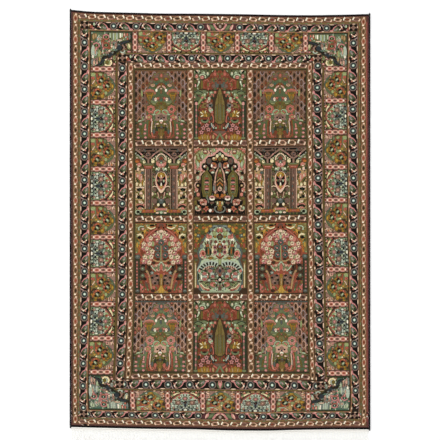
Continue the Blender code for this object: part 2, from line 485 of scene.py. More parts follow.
def dome_tile():
    """25 deep and 27 along the border."""
    p = Cartoon()
    p.draw("mauve", block(0, 0, 25, 27))
    for step in range(6):
        for x, y in ((13.4 + 2.1 * step, 1.6 + (step % 2)), (15.4 + 1.7 * step, 4.4 + step),
                (14.2 + 2 * step, 25.2 - (step % 2)), (17 + 1.5 * step, 22.4 - step)):
            p.draw("rose", (x, y, 0.85, 1.3))
            p.draw(("bark", "khaki")[step % 2], (x + 1, y + 0.4, 0.5, 1))
    p.draw("blush", (22.2, 2.4, 0.8, 1.2), (22.6, 24, 0.7, 1.4))
    p.draw("green", line([(14.4, 2.2), (18.6, 5.4), (22, 9), (23.8, 13.8), (22.2, 18.2), (19, 21.2),
            (15, 24.6)], 2.2))
    p.draw("teal", line([(18.6, 4.6), (22.4, 8.4), (24.4, 13), (23.6, 16)], 0.9))
    p.draw("moss", [(0, 0), (12.6, 0), (14.6, 2.2), (17, 5), (20, 6.6), (21.6, 9.6), (23.6, 13.6), (21.8, 17),
            (18.8, 18.8), (16.6, 21.6), (13.4, 23.8), (11.6, 27), (0, 27)])
    p.draw("khaki", (6.6, 13.4, 6.4, 5), (3.4, 9, 3.2, 4.4), (13.4, 19.6, 3.4, 2.4), (16.4, 10, 4, 3))
    speckle(p.draw, ("olive", "mustard", "olive", "pine", "sage", "orange", "leaf", "gold", "umber", "khaki",
            "green"), [(0, 0), (12.6, 0), (22, 10), (23, 13.6), (18, 20), (11.6, 27), (0, 27)], 84, 1.05, 3)
    speckle(p.draw, ("rose", "bark", "blush", "plum", "dusty"), block(15, 0, 25, 6), 14, 0.8, 4)
    speckle(p.draw, ("rose", "bark", "blush", "plum", "orange"), block(15, 22, 25, 27), 14, 0.8, 5)
    p.draw("leaf", (2.4, 3, 2.6, 2.2), (10, 2.8, 1.8, 1.5), (10.4, 15, 1.9, 1.4), (15.4, 20.6, 1.5, 1.8))
    p.draw("sage", (5.2, 5.6, 1.3, 3), (14.4, 3.4, 1.2, 1.6))
    p.draw("umber", block(0, -0.2, 12.4, 0.7), (3.2, 15.8, 2.2, 1.3), (16.4, 8.6, 3, 1.3),
            (1.4, 24, 1.3, 1.9), (8, 25.8, 3, 1.2), (9.4, 19.2, 1.9, 1.4))
    p.draw("brick", (6.3, 4.6, 0.9, 3.6), (12.4, 5, 0.9, 2.2), (8.2, 24, 1.2, 0.8), (18.2, 6.6, 0.8, 1.2))
    p.draw("orange", (13, 21.4, 1, 0.9), (2, 22.2, 0.8, 1.4))
    p.draw("salmon", (2, 5.9, 2, 1.4))
    p.draw("brick", (1.8, 6, 1.2, 0.8))
    p.draw("tan", leaf(0.8, 12.4, 4.6, 7.2, 2.4))
    p.draw("blush", line([(1.4, 11.6), (4, 8.2)], 0.8))
    for x, y, turn in ((10.6, 8.4, 110), (17, 13.6, 120), (6.6, 20.6, 185)):
        p.place(dome_flower(turn), x, y)
    p.draw("mustard", (22, 14.2, 1.3, 2.4), (17.4, 18.4, 2, 0.8), (11.8, 23.6, 2, 2.2), (4.6, 26, 1.6, 0.8))
    p.draw("gold", (22.2, 14, 0.7, 1.2), (11.4, 23.2, 0.9, 1.1))
    p.draw("leaf", (8.6, 14.8, 2.2, 1.2))
    p.draw("ivory", (7.5, 14.6, 1.2, 0.9))
    p.draw("umber", (0.9, 18, 1, 1.5), (5, 16, 0.8, 0.8), (13.8, 11.6, 0.8, 0.9))
    return p


# %% [markdown]
# Every second tile is a dark garden seen through an arch. One loop draws its two halves, the
# second turned over.

# %% The arch tile
def arch_tile():
    """25 deep and 26 along the border."""
    p = Cartoon()
    p.draw("coal", block(0, 0, 25, 26))
    for side in (-1, 1):
        half = Cartoon()
        half.draw("moss", (20.4, 11.6, 1.8, 1.2), (24, 7.6, 0.9, 2.2))
        half.draw("salmon", (23, 10, 1.3, 1.5), (17.6, 12, 1.2, 0.7))
        half.draw("rose", (23.6, 11.6, 1, 0.9))
        speckle(half.draw, ("blush", "ink", "leaf", "umber", "rose"),
                [(17, 12.6), (24.6, 12.6), (24.6, 2), (21, 7)], 12, 0.7, 8)
        half.draw("ivory", line([(19.4, 10.6), (20.8, 8.6), (21.6, 7.6), (22.6, 4.8)], 2, 0.7))
        half.draw("leaf", (19, 11.2, 1.2, 1))
        half.draw("khaki", (24.2, 2.4, 0.7, 1.8))
        half.draw("plum", [(0, 0), (24, 0), (23.4, 2.4), (21.8, 5.2), (19.8, 7.6), (17.4, 9.8), (14.6, 12),
                (11.6, 13), (0, 13)])
        half.draw("brick", [(0, 0), (23.2, 0), (22.6, 2.4), (20.8, 5), (18.8, 7.4), (16.6, 9.4), (13.8, 11.6),
                (11, 13), (0, 13)])
        half.draw("sage", [(0, 0), (22.2, 0), (21.6, 2.1), (19.9, 4.6), (17.9, 7), (15.7, 9), (13.1, 11),
                (9.9, 12.8), (0, 12.8)])
        for step, (x, y) in enumerate(((21.2, 1), (20.4, 3), (18.8, 5), (17.2, 6.8), (15.4, 8.4), (13.2, 10),
                (10.8, 11.4))):
            half.draw(("pink", "mint", "salmon", "leaf")[step % 4], (x, y, 1.1, 0.9, -45))
        speckle(half.draw, ("mint", "coral", "mist", "pine", "leaf", "umber"),
                [(12, 0), (21, 0), (19, 4.4), (15, 8.8), (9.4, 12.6), (8, 8)], 22, 0.8, 4 + side)
        half.draw("steel", (3, 8, 4, 3), (11, 9.6, 3, 2), (4, 2, 4, 1.6), (12.6, 3.4, 2.4, 1.6))
        half.draw("slate", (5.4, 4.6, 3, 1.3), (9, 1, 4, 1.6), (1.4, 8.2, 1.4, 2), (7.4, 10.6, 2.4, 1))
        speckle(half.draw, ("mist", "slate", "coal", "sage", "rose", "teal", "ink", "mint"),
                block(0.4, 0, 14, 12.6), 52, 0.8, 6 + side)
        half.draw("mist", (6.4, 11, 1.9, 1), (11.6, 9.4, 1.7, 0.9), (4.6, 7.6, 1.4, 2.2), (6.6, 8, 1.1, 2),
                (1, 4.4, 1, 1.3), (4.4, 1.4, 1.4, 0.7), (14, 10.2, 0.9, 0.9))
        half.draw("mint", (6.4, 2.9, 1.4, 0.8), (17.8, 4.2, 1.2, 1), (13.6, 2.2, 0.9, 0.8),
                (13.8, 6.4, 1, 0.8), (3.2, 11.6, 1.2, 0.7))
        half.draw("white", (6.6, 10.9, 0.8, 0.5), (17.8, 4.2, 0.5, 0.6), (0.8, 0.6, 0.9, 1))
        half.draw("mist", (10.2, 6.4, 3.1, 2.6))
        half.draw("mauve", (10.2, 6.4, 2.7, 2.2), (3.4, 10.4, 1.2, 0.9))
        half.draw("heather", (9.8, 6.6, 1.7, 1.3))
        half.draw("salmon", (16.4, 5, 1.3, 1.1))
        half.draw("rose", (10.2, 6.2, 1.1, 0.9), (3.6, 10.4, 0.6, 0.5))
        half.draw("rust", (16, 5.2, 0.9, 0.8))
        half.draw("ink", (1.4, 9.4, 0.9, 0.9), (1.2, 6.1, 0.9, 0.7), (4.6, 6.9, 1, 1), (4.6, 3.4, 1.2, 1.1),
                (1.6, 2.2, 0.8, 0.8), (2, 11.6, 0.9, 0.5))
        half.draw("coal", (13.2, 8.9, 1.1, 1.1), (8.4, 3.2, 1, 0.6), (19.4, 1.5, 1.6, 0.4),
                (7.8, 9, 0.6, 0.7), (12.8, 4.9, 0.8, 0.6))
        half.draw("sage", (20, 0, 1.6, 1))
        p.place(half, 0, 13, 1.0, side)
    p.draw("navy", (7, 13, 3, 1.1))
    p.draw("ink", (10.2, 13, 1.5, 1.8))
    p.draw("plum", (9.8, 13, 0.7, 0.9))
    p.draw("mist", (15.4, 13, 2.6, 2.4))
    p.draw("mauve", (15.4, 13, 2.2, 2))
    p.draw("dusty", (15.5, 13, 1.2, 1.2))
    return p


# %% [markdown]
# A bar of lozenges parts each tile from the next. One drawing serves the whole border.

# %% The bar between two tiles
def divider():
    """A pink bar with three brown lozenges on a dark ground, about its middle: 25 long, 6 wide."""
    p = Cartoon()
    p.draw("umber", block(-12.5, -3, 12.5, 3))
    p.draw("mauve", block(-12.5, -2.3, 12.5, 2.3))
    p.draw("rust", (-11.4, 0, 1.3, 1.2), (11.9, 0, 1.2, 1.2))
    for turn, x in enumerate((-6.4, 0.1, 6.5)):
        p.draw("dusty", (x, 0, 3.6, 2.5))
        p.draw("rose", (x, 0, 3.2, 1.9))
        p.draw(("coral", "mauve", "coral")[turn], (x, 0, 2.5, 1.5))
        p.draw(("brick", "plum", "rust")[turn], (x, 0, 1.8, 1))
    for x in (-9.6, -3.1, 3.4, 9.6):
        p.draw("blush", (x, 0, 1.1, 1.3))
    p.draw("white", (-9.6, 0, 0.7, 0.7), (9.6, 0, 0.7, 0.7))
    for x in (-9.6, -3.1, 3.4, 9.6):
        p.draw("bark", (x, -2.1, 0.9, 0.6), (x, 2.1, 0.9, 0.6))
    return p


# %% [markdown]
# The corner's tile is an L, because the inner guard starts inside its square. Its middle line runs
# slantwise: a stepped slate edge with fans and ringed flowers on one side and leaves on the other.

# %% The corner tile
def corner_tile():
    """From its outer corner at 0, 0: 40.6 across and 35 down."""
    p = Cartoon()
    p.draw("pine", block(0, 0, 40.6, 20.9), block(0, 0, 25.7, 35))
    p.draw("green", block(0.6, 1, 39.6, 12), block(0.6, 1, 24, 22), block(0.6, 1, 12, 34))
    p.draw("sage", (20, 13, 9, 7), (5, 21, 5, 9), (8, 7, 6, 5), (31, 5, 7, 4))
    p.draw("steel", (26, 11, 4, 4), (3, 30, 3, 4), (16, 22, 4, 1.6))
    speckle(p.draw, ("mist", "rose", "mint", "teal", "dusty", "sage", "steel", "pine", "mint", "slate"),
            [(1, 1), (39, 1), (38, 8), (26, 16), (14, 27), (6, 34), (1, 34)], 210, 0.95, 3, 1.4)
    p.draw("khaki", (3.4, 5.6, 2.4, 3.4), (30.6, 5.8, 3, 1.4), (12, 10, 1.2, 5))
    p.draw("tan", (2.6, 5.4, 1, 2.6), (5, 4.4, 0.9, 2.2))
    p.draw("teal", (4.8, 9, 1, 1.6), (10.6, 14.6, 1.1, 2))
    for x, y, across, yarn in ((15.2, 5.6, 3.8, "dusty"), (5.4, 13.8, 3.8, "dusty"),
            (15.2, 13.6, 4, "brick")):
        p.draw(yarn, star(x, y, across, across * 0.8, 7, -90, 0.86))
        p.draw("salmon", (x, y + 1.4, across * 0.6, across * 0.4))
        p.draw("green", (x, y, across * 0.58, across * 0.42))
        p.draw("coal", (x - 1.1, y, 0.8, 0.9), (x + 1.1, y, 0.8, 0.9))
        p.draw("leaf", (x, y, 0.6, 0.9))
    p.draw("dusty", (5.4, 17, 0.9, 1.8), (11.6, 12.6, 0.7, 3), (12.4, 17, 0.9, 1.4))
    p.draw("brick", (12.6, 9.4, 0.8, 1.8), (18.6, 16.4, 2.4, 0.9), (10.8, 10.4, 0.5, 2.4))
    p.draw("mist", (7.6, 7.2, 1.9, 2.4), (2.2, 20, 2, 6.6), (5, 21.6, 1, 2.8), (22.6, 15.6, 1.3, 2))
    p.draw("rose", (7.8, 7.4, 1, 1.2), (4.4, 19.6, 0.6, 3), (3.2, 30.4, 1.2, 2.4), (6, 31, 1, 1.4))
    p.draw("white", (2, 24.6, 0.9, 1.9))
    p.draw("leaf", (8.4, 22, 1.2, 4), (3.4, 18, 0.6, 1.4))
    p.draw("tan", (8.8, 27.4, 0.8, 2.8), (9.8, 21, 0.5, 2.4))
    p.draw("coal", (8.8, 16.8, 0.9, 1.2), (5, 27.6, 0.6, 1.6), (10.9, 19, 0.5, 1.8))
    p.draw("mauve", (6.2, 27, 1, 1.6), (25.2, 14.2, 1.5, 3.4), (21, 10.6, 1, 1.6), (17, 20.6, 3, 1.2),
            (24, 9.4, 1.6, 0.9))
    for step, (yarn, tall) in enumerate((("mint", 2.3), ("sage", 3.4), ("mist", 3.2), ("leaf", 3.6),
            ("mist", 3), ("sage", 2.8), ("white", 2.2), ("mint", 1.8))):
        x = 19.4 + 1.7 * step
        p.draw(yarn, block(x - 0.85, 1.6, x + 0.6, 1.8 + 2 * tall))
    p.draw("salmon", (33.6, 3.4, 1, 2.2), (36.4, 3, 0.9, 1.7), (36.6, 7, 1, 1.2))
    p.draw("blush", (33.5, 3, 0.6, 1.2), (28.6, 8.4, 3, 0.6), (20.8, 14.8, 1.2, 1.1), (18.4, 19, 1.3, 1),
            (24.8, 15.8, 0.6, 1.6))
    p.draw("leaf", (21.4, 9.2, 1, 0.7), (20.6, 17.2, 0.9, 0.7))
    p.draw("pine", (27.4, 11, 1, 2), (22.6, 12.8, 0.7, 1.4), (17.6, 8.4, 1.4, 0.6))
    p.draw("coal", [(40.6, 2), (40.6, 10), (32.6, 12.6), (30.6, 17.4), (26.4, 19.6), (24.4, 22.2), (19.6, 23),
            (18.4, 26.2), (13.4, 27.6),
                    (11, 32.8), (0.8, 35), (8.8, 31), (11.6, 24.6), (17, 23), (19.2, 20.6), (24.2, 18.6),
                    (27, 12), (30.8, 9.4), (37.4, 8.4), (39, 2)])
    p.draw("steel", (28, 13.8, 1.6, 2), (38.8, 5, 0.7, 3))
    speckle(p.draw, ("slate", "steel", "umber", "navy", "teal"),
            [(40, 3), (40, 9), (32, 12.6), (26, 19), (19, 23), (11, 31), (2, 34), (18, 21), (27, 12),
            (38, 8)], 34, 0.9, 6)
    p.draw("navy", (28.4, 15.6, 2.4, 2.6, 30), (19.6, 23.2, 2.6, 1.6, -20),
            line([(30, 12.6), (33, 10.6), (38, 9.4)], 1.6), line([(14.6, 25.4), (12, 29.4), (7, 33)], 1.4))
    p.draw("bark", [(40.6, 10.8), (33.6, 12.8), (32, 17.6), (27.6, 19.8), (26.8, 20.9), (40.6, 20.9)],
           [(25.7, 22.6), (20.4, 23.8), (19.2, 27), (14.4, 28.4), (12, 35), (25.7, 35)])
    for patch, count, seed in ((block(30, 13, 40, 20.4), 26, 7), (block(16, 24, 25.4, 34.6), 28, 8)):
        speckle(p.draw, ("ink", "rose", "leaf", "umber", "pine", "dusty"), patch, count, 0.85, seed)
    p.draw("mauve", line([(31.4, 13), (33.4, 15.2), (32.2, 18.4)], 1.4), (14.4, 33.6, 2.2, 0.9),
            (35.4, 12.6, 1, 0.8), (16.4, 26.8, 1.3, 0.8))
    p.draw("ink", (33.4, 13.4, 0.9, 0.7), (34.8, 15.4, 0.8, 1.2), (37.6, 17.4, 1, 0.9), (31.6, 16, 0.7, 1.2),
            (23.4, 29.4, 0.7, 1.4))
    p.draw("mist", bow(31.6, 18.4, 2.4, 0, 150, 1.3, steps=3))
    p.draw("leaf", (38, 14.4, 1.8, 3.2, -10), (16.6, 30.4, 3.4, 2.6), (23.6, 25.8, 1.5, 2.4))
    p.draw("ivory", (38.2, 13.8, 0.9, 2.3, -10), bow(17, 30.4, 3.6, -40, 150, 1.7, 3.4, steps=4),
            (14.8, 27.6, 1.1, 0.8))
    p.draw("olive", (16.2, 30.2, 1.8, 1.9))
    p.draw("sage", (23.8, 25.6, 0.7, 1.4), (36, 18.6, 1, 0.8))
    p.draw("dusty", (38, 19.6, 1.8, 0.9), (23.4, 32, 1.3, 1.2))
    p.draw("blush", (23.6, 32, 0.6, 0.6), (20.8, 26.4, 0.7, 0.6))
    return p


print("tiles:", len(dome_tile().shapes), len(arch_tile().shapes), "and the corner's",
        len(corner_tile().shapes), "shapes")


# %% [markdown]
# The field shows twelve arched garden niches, drawn as six panels. Each function draws one about
# the line x = 0, down from y = 0, and returns it with its width and height in squares. Most shapes
# come in mirrored pairs; a few are drawn once, as a weaver's hand would leave them.

# %% The arbour panel
def lattice(p):
    """A net of narrow mauve ovals in staggered columns, with dark hearts."""
    for column in range(6):
        for row in range(7):
            x, y = -25.4 + 3.7 * column, (5.5 if column % 2 else 1.8) + 7.4 * row
            p.pair(("mauve", "clay", "lilac")[(row + column) % 3], (x, y, 2.3, 4.1))
            p.pair(("umber", "bark")[column % 2], (x, y, 1.55, 3.1))
            p.pair(("rust", "ink", "plum", "coal")[(row + column) % 4], (x, y, 0.9, 1.6))


def arbour_panel():
    """An arbour of fan flowers between latticed corners."""
    p = Cartoon()
    p.draw("bark", block(-26, 0, 26, 69))
    lattice(p)
    # the arch's field
    arch = [(0, 1.6), (-4, 2.2), (-8, 5), (-11.5, 10), (-14, 17), (-15.5, 24), (-15.5, 36), (-15.5, 50),
            (-14.5, 58), (0, 58)]
    p.pair("walnut", arch)
    p.pair("green", [(x * 0.93, y + 0.9) for x, y in arch])
    p.pair("heather", (-5, 5.4, 3.4, 2.4), (-10, 12, 1.8, 4, 20))
    speckle(p.pair, ("moss", "sage", "khaki", "teal", "walnut", "olive", "heather", "sage", "slate"), arch,
            130, 0.95, 4)
    p.pair("sage", (-7, 31, 4, 2.2), [(0, 2.6), (-1.6, 6), (-1.4, 12), (0, 12)])
    p.pair("moss", (-4.5, 16, 3.6, 2.2), (-9.5, 34.5, 3, 2))
    # bottom ground
    p.pair("green", block(-26, 51.5, -12, 67))
    p.pair("moss", block(-26, 64, -13, 67.2), (-21, 58, 3, 4))
    p.pair("bark", (-24, 55.5, 1.8, 3))
    speckle(p.pair, ("olive", "sage", "pine", "walnut", "moss", "teal", "bark"), block(-26, 52, -14, 68), 46,
            0.9, 6)
    # salmon buds under the crown
    p.draw("walnut", (0.2, 6, 2.4, 3.2))
    p.draw("salmon", (0.2, 5.6, 1.2, 1.8))
    p.pair("rust", (-5.2, 9.2, 2.8, 1.8))
    p.pair("salmon", (-4.6, 8.8, 1.5, 1))
    p.draw("mustard", (4.8, 8.6, 1.4, 1))
    p.pair("teal", (-4.9, 13.6, 1.6, 1.4))
    p.pair("rose", (-8.4, 15, 2.3, 1.7))
    p.pair("tan", (-8.6, 14.6, 1.1, 0.8))
    # the white-tipped arms
    p.pair("rust", line([(-0.4, 13.5), (-3, 15.5), (-4.2, 18)], 2.4, 1.8))
    p.pair("rose", line([(-0.8, 15.6), (-2.8, 16.6), (-4.6, 19)], 1.4, 1.8))
    p.pair("white", (-4.8, 20, 1.2, 1.7))
    p.draw("umber", diamond(0, 14.6, 1.2, 2.6))
    p.draw("mustard", diamond(0, 14.4, 0.6, 1.8))
    p.draw("blush", (0, 18.4, 1.2, 0.7))
    p.draw("walnut", (0, 21.5, 1, 2.2))
    # fan flowers
    p.pair("salmon", fan(-11.6, 24, 6.6, 180, 360, 5, 0.12, high=5.6))
    p.pair("clay", (-11.6, 22.8, 5.6, 2.6))
    p.pair("rust", (-11.6, 23.6, 4.4, 2.2))
    p.pair("mustard", [(-15.6, 22.4), (-7.6, 22.4), (-8.6, 25.5), (-10.6, 30), (-12.4, 30), (-14.6, 25.5)])
    p.pair("olive", (-11.6, 23.2, 2.4, 1.1))
    p.pair("khaki", line([(-11.6, 26), (-11.4, 31)], 1.8, 1.2))
    # side leaf strokes
    p.pair("leaf", leaf(-19.6, 19, -19.2, 27, 1.8))
    p.pair("heather", (-16.2, 27.5, 1.4, 4), (-14.6, 33, 1.6, 2.4))
    p.pair("rust", (-15, 25, 0.9, 1.6), (-14.6, 31.5, 0.8, 1.4))
    # butterflies
    p.pair("slate", (-7.8, 28.6, 1.5, 1.8))
    p.pair("salmon", (-3.4, 28, 1.4, 1.2))
    p.pair("blush", (-5.6, 29, 1.5, 1.9))
    p.pair("white", (-5.5, 30, 0.9, 1))
    p.draw("teal", (0, 30, 1.4, 2.2))
    # olive mass and rosettes
    p.draw("olive", (0, 35.5, 7, 4.6))
    p.draw("khaki", (0, 38, 3.4, 3.6))
    speckle(p.pair, ("moss", "mustard", "bark", "green", "rust"), block(-6, 32, 0, 39), 16, 0.8, 9)
    p.draw("mustard", (0.2, 40, 1.4, 2))
    p.pair("leaf", leaf(-9.5, 33.2, -4.5, 33.6, 1))
    p.pair("salmon", star(-10.4, 38.8, 4.6, 3.9, 7))
    p.pair("coral", star(-10.4, 38.8, 3.4, 2.2, 6))
    p.pair("bark", (-10.4, 38.8, 1.9, 1.9))
    p.pair("green", (-10.3, 38.8, 1.2, 1.2))
    # pale leaf pair
    p.pair("leaf", (-3.7, 42, 3.6, 2.6, -35))
    p.pair("mint", bow(-3.7, 42, 3.4, 120, 330, 0.8, 2.6))
    p.pair("salmon", line([(-5.4, 43), (-2.6, 40.8)], 1.1))
    p.pair("mint", (-7.6, 44, 1.3, 1))
    # mauve motif
    p.draw("mauve", star(0, 47.2, 7.2, 5.4, 6, high=0.72))
    p.pair("ink", (-2.8, 47.2, 1.1, 1))
    p.draw("heather", (0, 46, 1.8, 1.5))
    p.draw("navy", (0, 48.4, 1.2, 1))
    # corbels
    p.pair("mint", [(-18.6, 45.5), (-17.4, 45.8), (-18.2, 50.4), (-23.4, 51.4), (-23, 50), (-19.8, 49.4)])
    p.pair("leaf", line([(-18.2, 46.4), (-19.4, 50)], 0.8))
    # trunks
    p.pair("olive", block(-13.2, 50, -7.4, 67))
    p.pair("rust", line([(-10.6, 50), (-12, 56), (-12.4, 66)], 1.8))
    p.pair("brick", line([(-12.4, 56), (-12.8, 66)], 0.9))
    p.pair("pine", line([(-10.2, 52), (-10.8, 64)], 0.9))
    p.pair("blush", line([(-9, 50.5), (-9.8, 58), (-9.6, 63.5)], 1))
    p.pair("salmon", line([(-9.6, 62), (-8.4, 66), (-4.5, 67)], 1.6))
    p.pair("brick", line([(-12.6, 63), (-10.5, 67), (-6, 67.6)], 1.2))
    p.pair("salmon", star(-12, 46.6, 3.4, 2.4, 5))
    p.pair("tan", (-12.2, 46.8, 1.6, 1.3))
    p.pair("rose", (-14.8, 46.6, 1.1, 1.8))
    p.pair("pink", (-9.8, 49.4, 0.9, 1.8))
    # the ivory flower
    p.draw("olive", (0, 57, 6.6, 8))
    p.pair("pine", (-4.6, 60, 1.4, 4.6))
    p.pair("umber", (-2.3, 57.2, 1.5, 1.1))
    p.draw("bark", (0, 58.4, 2.4, 1.6))
    p.draw("slate", (0.3, 56.4, 1.2, 1))
    p.pair("blush", bow(-2, 57.4, 4.6, 190, 262, 1.4, 4.4, steps=3))
    speckle(p.pair, ("moss", "khaki", "bark", "umber", "rust", "green"), block(-7, 54, 0, 67), 24, 0.8, 3)
    p.draw("white", (0, 50.4, 2, 1.3))
    p.draw("rose", (0, 52, 1.4, 1.2))
    p.pair("slate", (-7.4, 61, 1, 2.6))
    p.pair("rust", (-4.4, 62.4, 1.4, 2.4))
    p.draw("mustard", line([(0, 59), (0, 68)], 2, 3))
    p.draw("khaki", line([(0, 59), (0, 65)], 0.9, 0.9))
    p.draw("tan", (0, 66.6, 1, 1.6))
    # dot rows
    for x, y in ((-23.3, 59), (-23.3, 63), (-23, 67), (-16, 59), (-16.4, 63), (-15.8, 67), (-20.6, 53.5)):
        p.pair("dusty", (x, y, 1.5, 1.15))
        p.pair("pink", (x - 0.3, y - 0.3, 0.8, 0.6))
    p.pair("olive", line([(-15.5, 55), (-18.4, 58), (-19.6, 64)], 1.2))
    p.pair("coral", line([(-15.6, 53.5), (-16.2, 57.5)], 1.4))
    p.draw("pine", block(-26, 68.2, 26, 69))
    p.pair("coal", block(-26, 0, -25.6, 69))
    p.draw("walnut", block(-26, 0.5, 26, 1.3))
    p.draw("coal", block(-26, 0, 26, 0.5))
    return p, 52.0, 69.0


# %% [markdown]
# The middle panel of the first and last rows. Everything that pair() draws shows on both sides
# of the panel's middle line, so only half of each panel is written out.

# %% The cypress panel
def cypress_panel():
    """A cypress between rows of flowers, under a red canopy."""
    p = Cartoon()
    p.draw("moss", block(-26.5, 0, 26.5, 69))
    # spandrels: pale flowers on green
    p.pair("green", (-21, 5, 5, 6), (-14, 4, 4, 4), (-20, 27, 4, 5))
    speckle(p.pair, ("pine", "mint", "sage", "moss", "umber", "green", "olive", "coal", "pink"),
            block(-26.5, 0.5, -9, 33), 95, 0.95, 3)
    p.pair("sage", (-21, 22, 4.4, 2.2), (-15.5, 21, 2.2, 2.6), (-17.4, 2.4, 2, 2.4), (-24.6, 26, 1.2, 2.4))
    p.pair("pine", line([(-26, 22.6), (-22, 20.4), (-18.4, 21.8), (-15.4, 24.6)], 1), (-22.4, 25.2, 1.6, 1.2),
            (-13.6, 6, 1.2, 1.4))
    p.pair("mint", (-22.4, 1.4, 2.6, 1.6), (-16.2, 3.4, 1.6, 2), (-12.3, 3.8, 1.3, 1.9),
            (-7.2, 1.9, 0.9, 1.5), (-22.2, 9.2, 1.6, 1.1))
    p.pair("blush", (-22.6, 1, 1.4, 0.9), (-12.3, 3.4, 0.6, 1.1), (-22.4, 9.4, 1, 0.7))
    p.pair("mint", bow(-17.6, 7.2, 3.4, 200, 380, 1.3, 3, steps=4))
    p.pair("coral", (-23.4, 6.2, 1.6, 2.2), (-17.8, 7.2, 2.1, 1.9))
    p.pair("pink", (-23.6, 5.4, 0.9, 1), (-17.6, 6.6, 1.1, 1))
    p.pair("ink", leaf(-25, 0.6, -22.2, 3.6, 1.9), (-25.8, 9, 0.7, 1))
    p.pair("plum", (-22.4, 11.6, 1.5, 1.2), (-25.4, 14.4, 0.8, 1.2), (-21, 25.4, 1.2, 1))
    p.pair("mint", line([(-21, 10.6), (-21.4, 13.4), (-22.8, 16.2)], 1.7, 1.2))
    p.pair("white", (-20.9, 12, 0.5, 1.2))
    p.pair("pink", (-24.6, 15.4, 0.7, 1.7), (-25.4, 26.8, 0.6, 1))
    p.pair("leaf", (-16.2, 25.4, 2.4, 2.6, 30), line([(-18.4, 28.4), (-20.4, 31.4), (-22.2, 34)], 1.9, 1.4))
    p.pair("mint", (-15.2, 24.2, 1.2, 1.4))
    p.pair("coral", (-17.6, 27.2, 1.5, 1, -30))
    # the red field inside the arch
    p.pair("rust", [(0, 20), (-12, 22), (-14.2, 29), (-19.4, 33.6), (-22.6, 40), (-23, 69), (0, 69)])
    speckle(p.pair, ("brick", "umber", "rust", "bark", "salmon", "pine", "umber", "olive"),
            [(0, 22), (-12, 23), (-20, 35), (-22.2, 42), (-22.2, 69), (0, 69)], 165, 0.9, 5)
    p.pair("khaki", line([(-18.6, 37.6), (-16.2, 33.4), (-13.4, 33)], 1.6), (-16, 36.6, 2.4, 1))
    p.pair("umber", (-4.8, 29, 2.4, 6.6), (-7.4, 36, 2.4, 4.2), block(-7.8, 44, -4.8, 60))
    # flowers beside the cypress
    p.pair("sage", star(-8.2, 23.2, 3.2, 2.4, 6))
    p.pair("mint", (-8.8, 22.4, 1.4, 1.3))
    p.pair("coral", (-8.2, 24, 0.9, 0.8), (-4.9, 21.6, 1, 1.9))
    p.pair("pine", (-7.2, 27.4, 1.9, 2.2), (-10.4, 20.6, 1, 1))
    p.pair("salmon", line([(-9, 25.6), (-12.2, 28.2), (-14.6, 31.6)], 1.3), (-6.4, 25, 0.7, 1.8))
    p.pair("mint", (-10.8, 28.6, 1.5, 2.4))
    p.pair("rose", (-12.4, 31.2, 1.2, 1.6), (-10.4, 30.6, 0.8, 0.9))
    p.pair("slate", (-9.8, 34.8, 2.8, 2))
    p.pair("mauve", (-12.4, 35, 1.2, 1.4), (-9, 32.8, 1.4, 0.8))
    p.pair("ink", (-9.8, 35.2, 1.3, 0.9))
    p.pair("mist", (-10.6, 36.6, 0.9, 0.6))
    p.pair("mint", [(-11.4, 37.6), (-8.6, 36.8), (-7, 39.4), (-7.6, 42.2), (-9.4, 42), (-11.2, 40.2)])
    p.pair("pink", (-9.6, 38, 1.3, 1), (-8, 41.4, 0.8, 0.9))
    # gold fans
    p.pair("bark", (-16.2, 44.4, 4.6, 4.4))
    p.pair("mustard", (-16, 43.2, 3.6, 3.2))
    p.pair("ivory", leaf(-20.2, 41.2, -17, 43.4, 1.3), leaf(-19.6, 46.4, -16.4, 44.2, 1.4),
            leaf(-14.6, 39.8, -14.8, 43.2, 1.1))
    p.pair("gold", leaf(-17.8, 39.6, -16, 43.2, 1.3), leaf(-13, 46.8, -14.2, 43, 1.8))
    p.pair("olive", (-11.4, 44.6, 1.2, 2.4))
    # leaves and rings under the fans
    p.pair("salmon", line([(-8.2, 42.8), (-6.6, 46.6), (-6.2, 50.6), (-7.4, 52.6)], 1.2))
    p.pair("pine", leaf(-8.2, 44.8, -9.4, 51, 2.6))
    p.pair("slate", leaf(-8.6, 46.4, -9.2, 49.4, 1))
    p.pair("salmon", line([(-11.6, 46.8), (-11.2, 50.2), (-9.8, 52.2)], 1.1))
    p.pair("rust", (-15.6, 49.6, 4.2, 2.6))
    p.pair("sage", bow(-15.2, 48.6, 3.6, 10, 170, 1.7, 3.2, steps=4))
    p.pair("coal", (-15.2, 49.8, 2.4, 0.9))
    p.pair("coral", (-19.6, 52.8, 1, 1.6))
    p.pair("pine", (-20.6, 54.6, 1.6, 2.2), (-8.4, 53.2, 1.7, 1.8), (-21.4, 44, 0.7, 2.6))
    p.pair("mist", line([(-8.6, 52.6), (-7.8, 55.6), (-5.8, 58)], 1.1))
    p.pair("pink", line([(-7, 54), (-5.4, 56.8)], 0.7))
    p.pair("navy", (-9.6, 56, 1, 2.2), (-6.6, 59.6, 1.2, 1))
    for x, y in ((-16.6, 57.4), (-11.6, 59.0), (-18.6, 61.8), (-13.2, 54.8)):
        p.pair("umber", (x, y, 3, 2.8))
        p.pair("dusty", star(x, y, 2.6, 1.5, 5))
        p.pair("bark", (x, y, 0.9, 0.8))
    p.pair("bark", (-14.4, 62.4, 1.6, 0.9), (-7.8, 62.6, 1.8, 1))
    p.pair("rust", block(-21.4, 64, -1.5, 69))
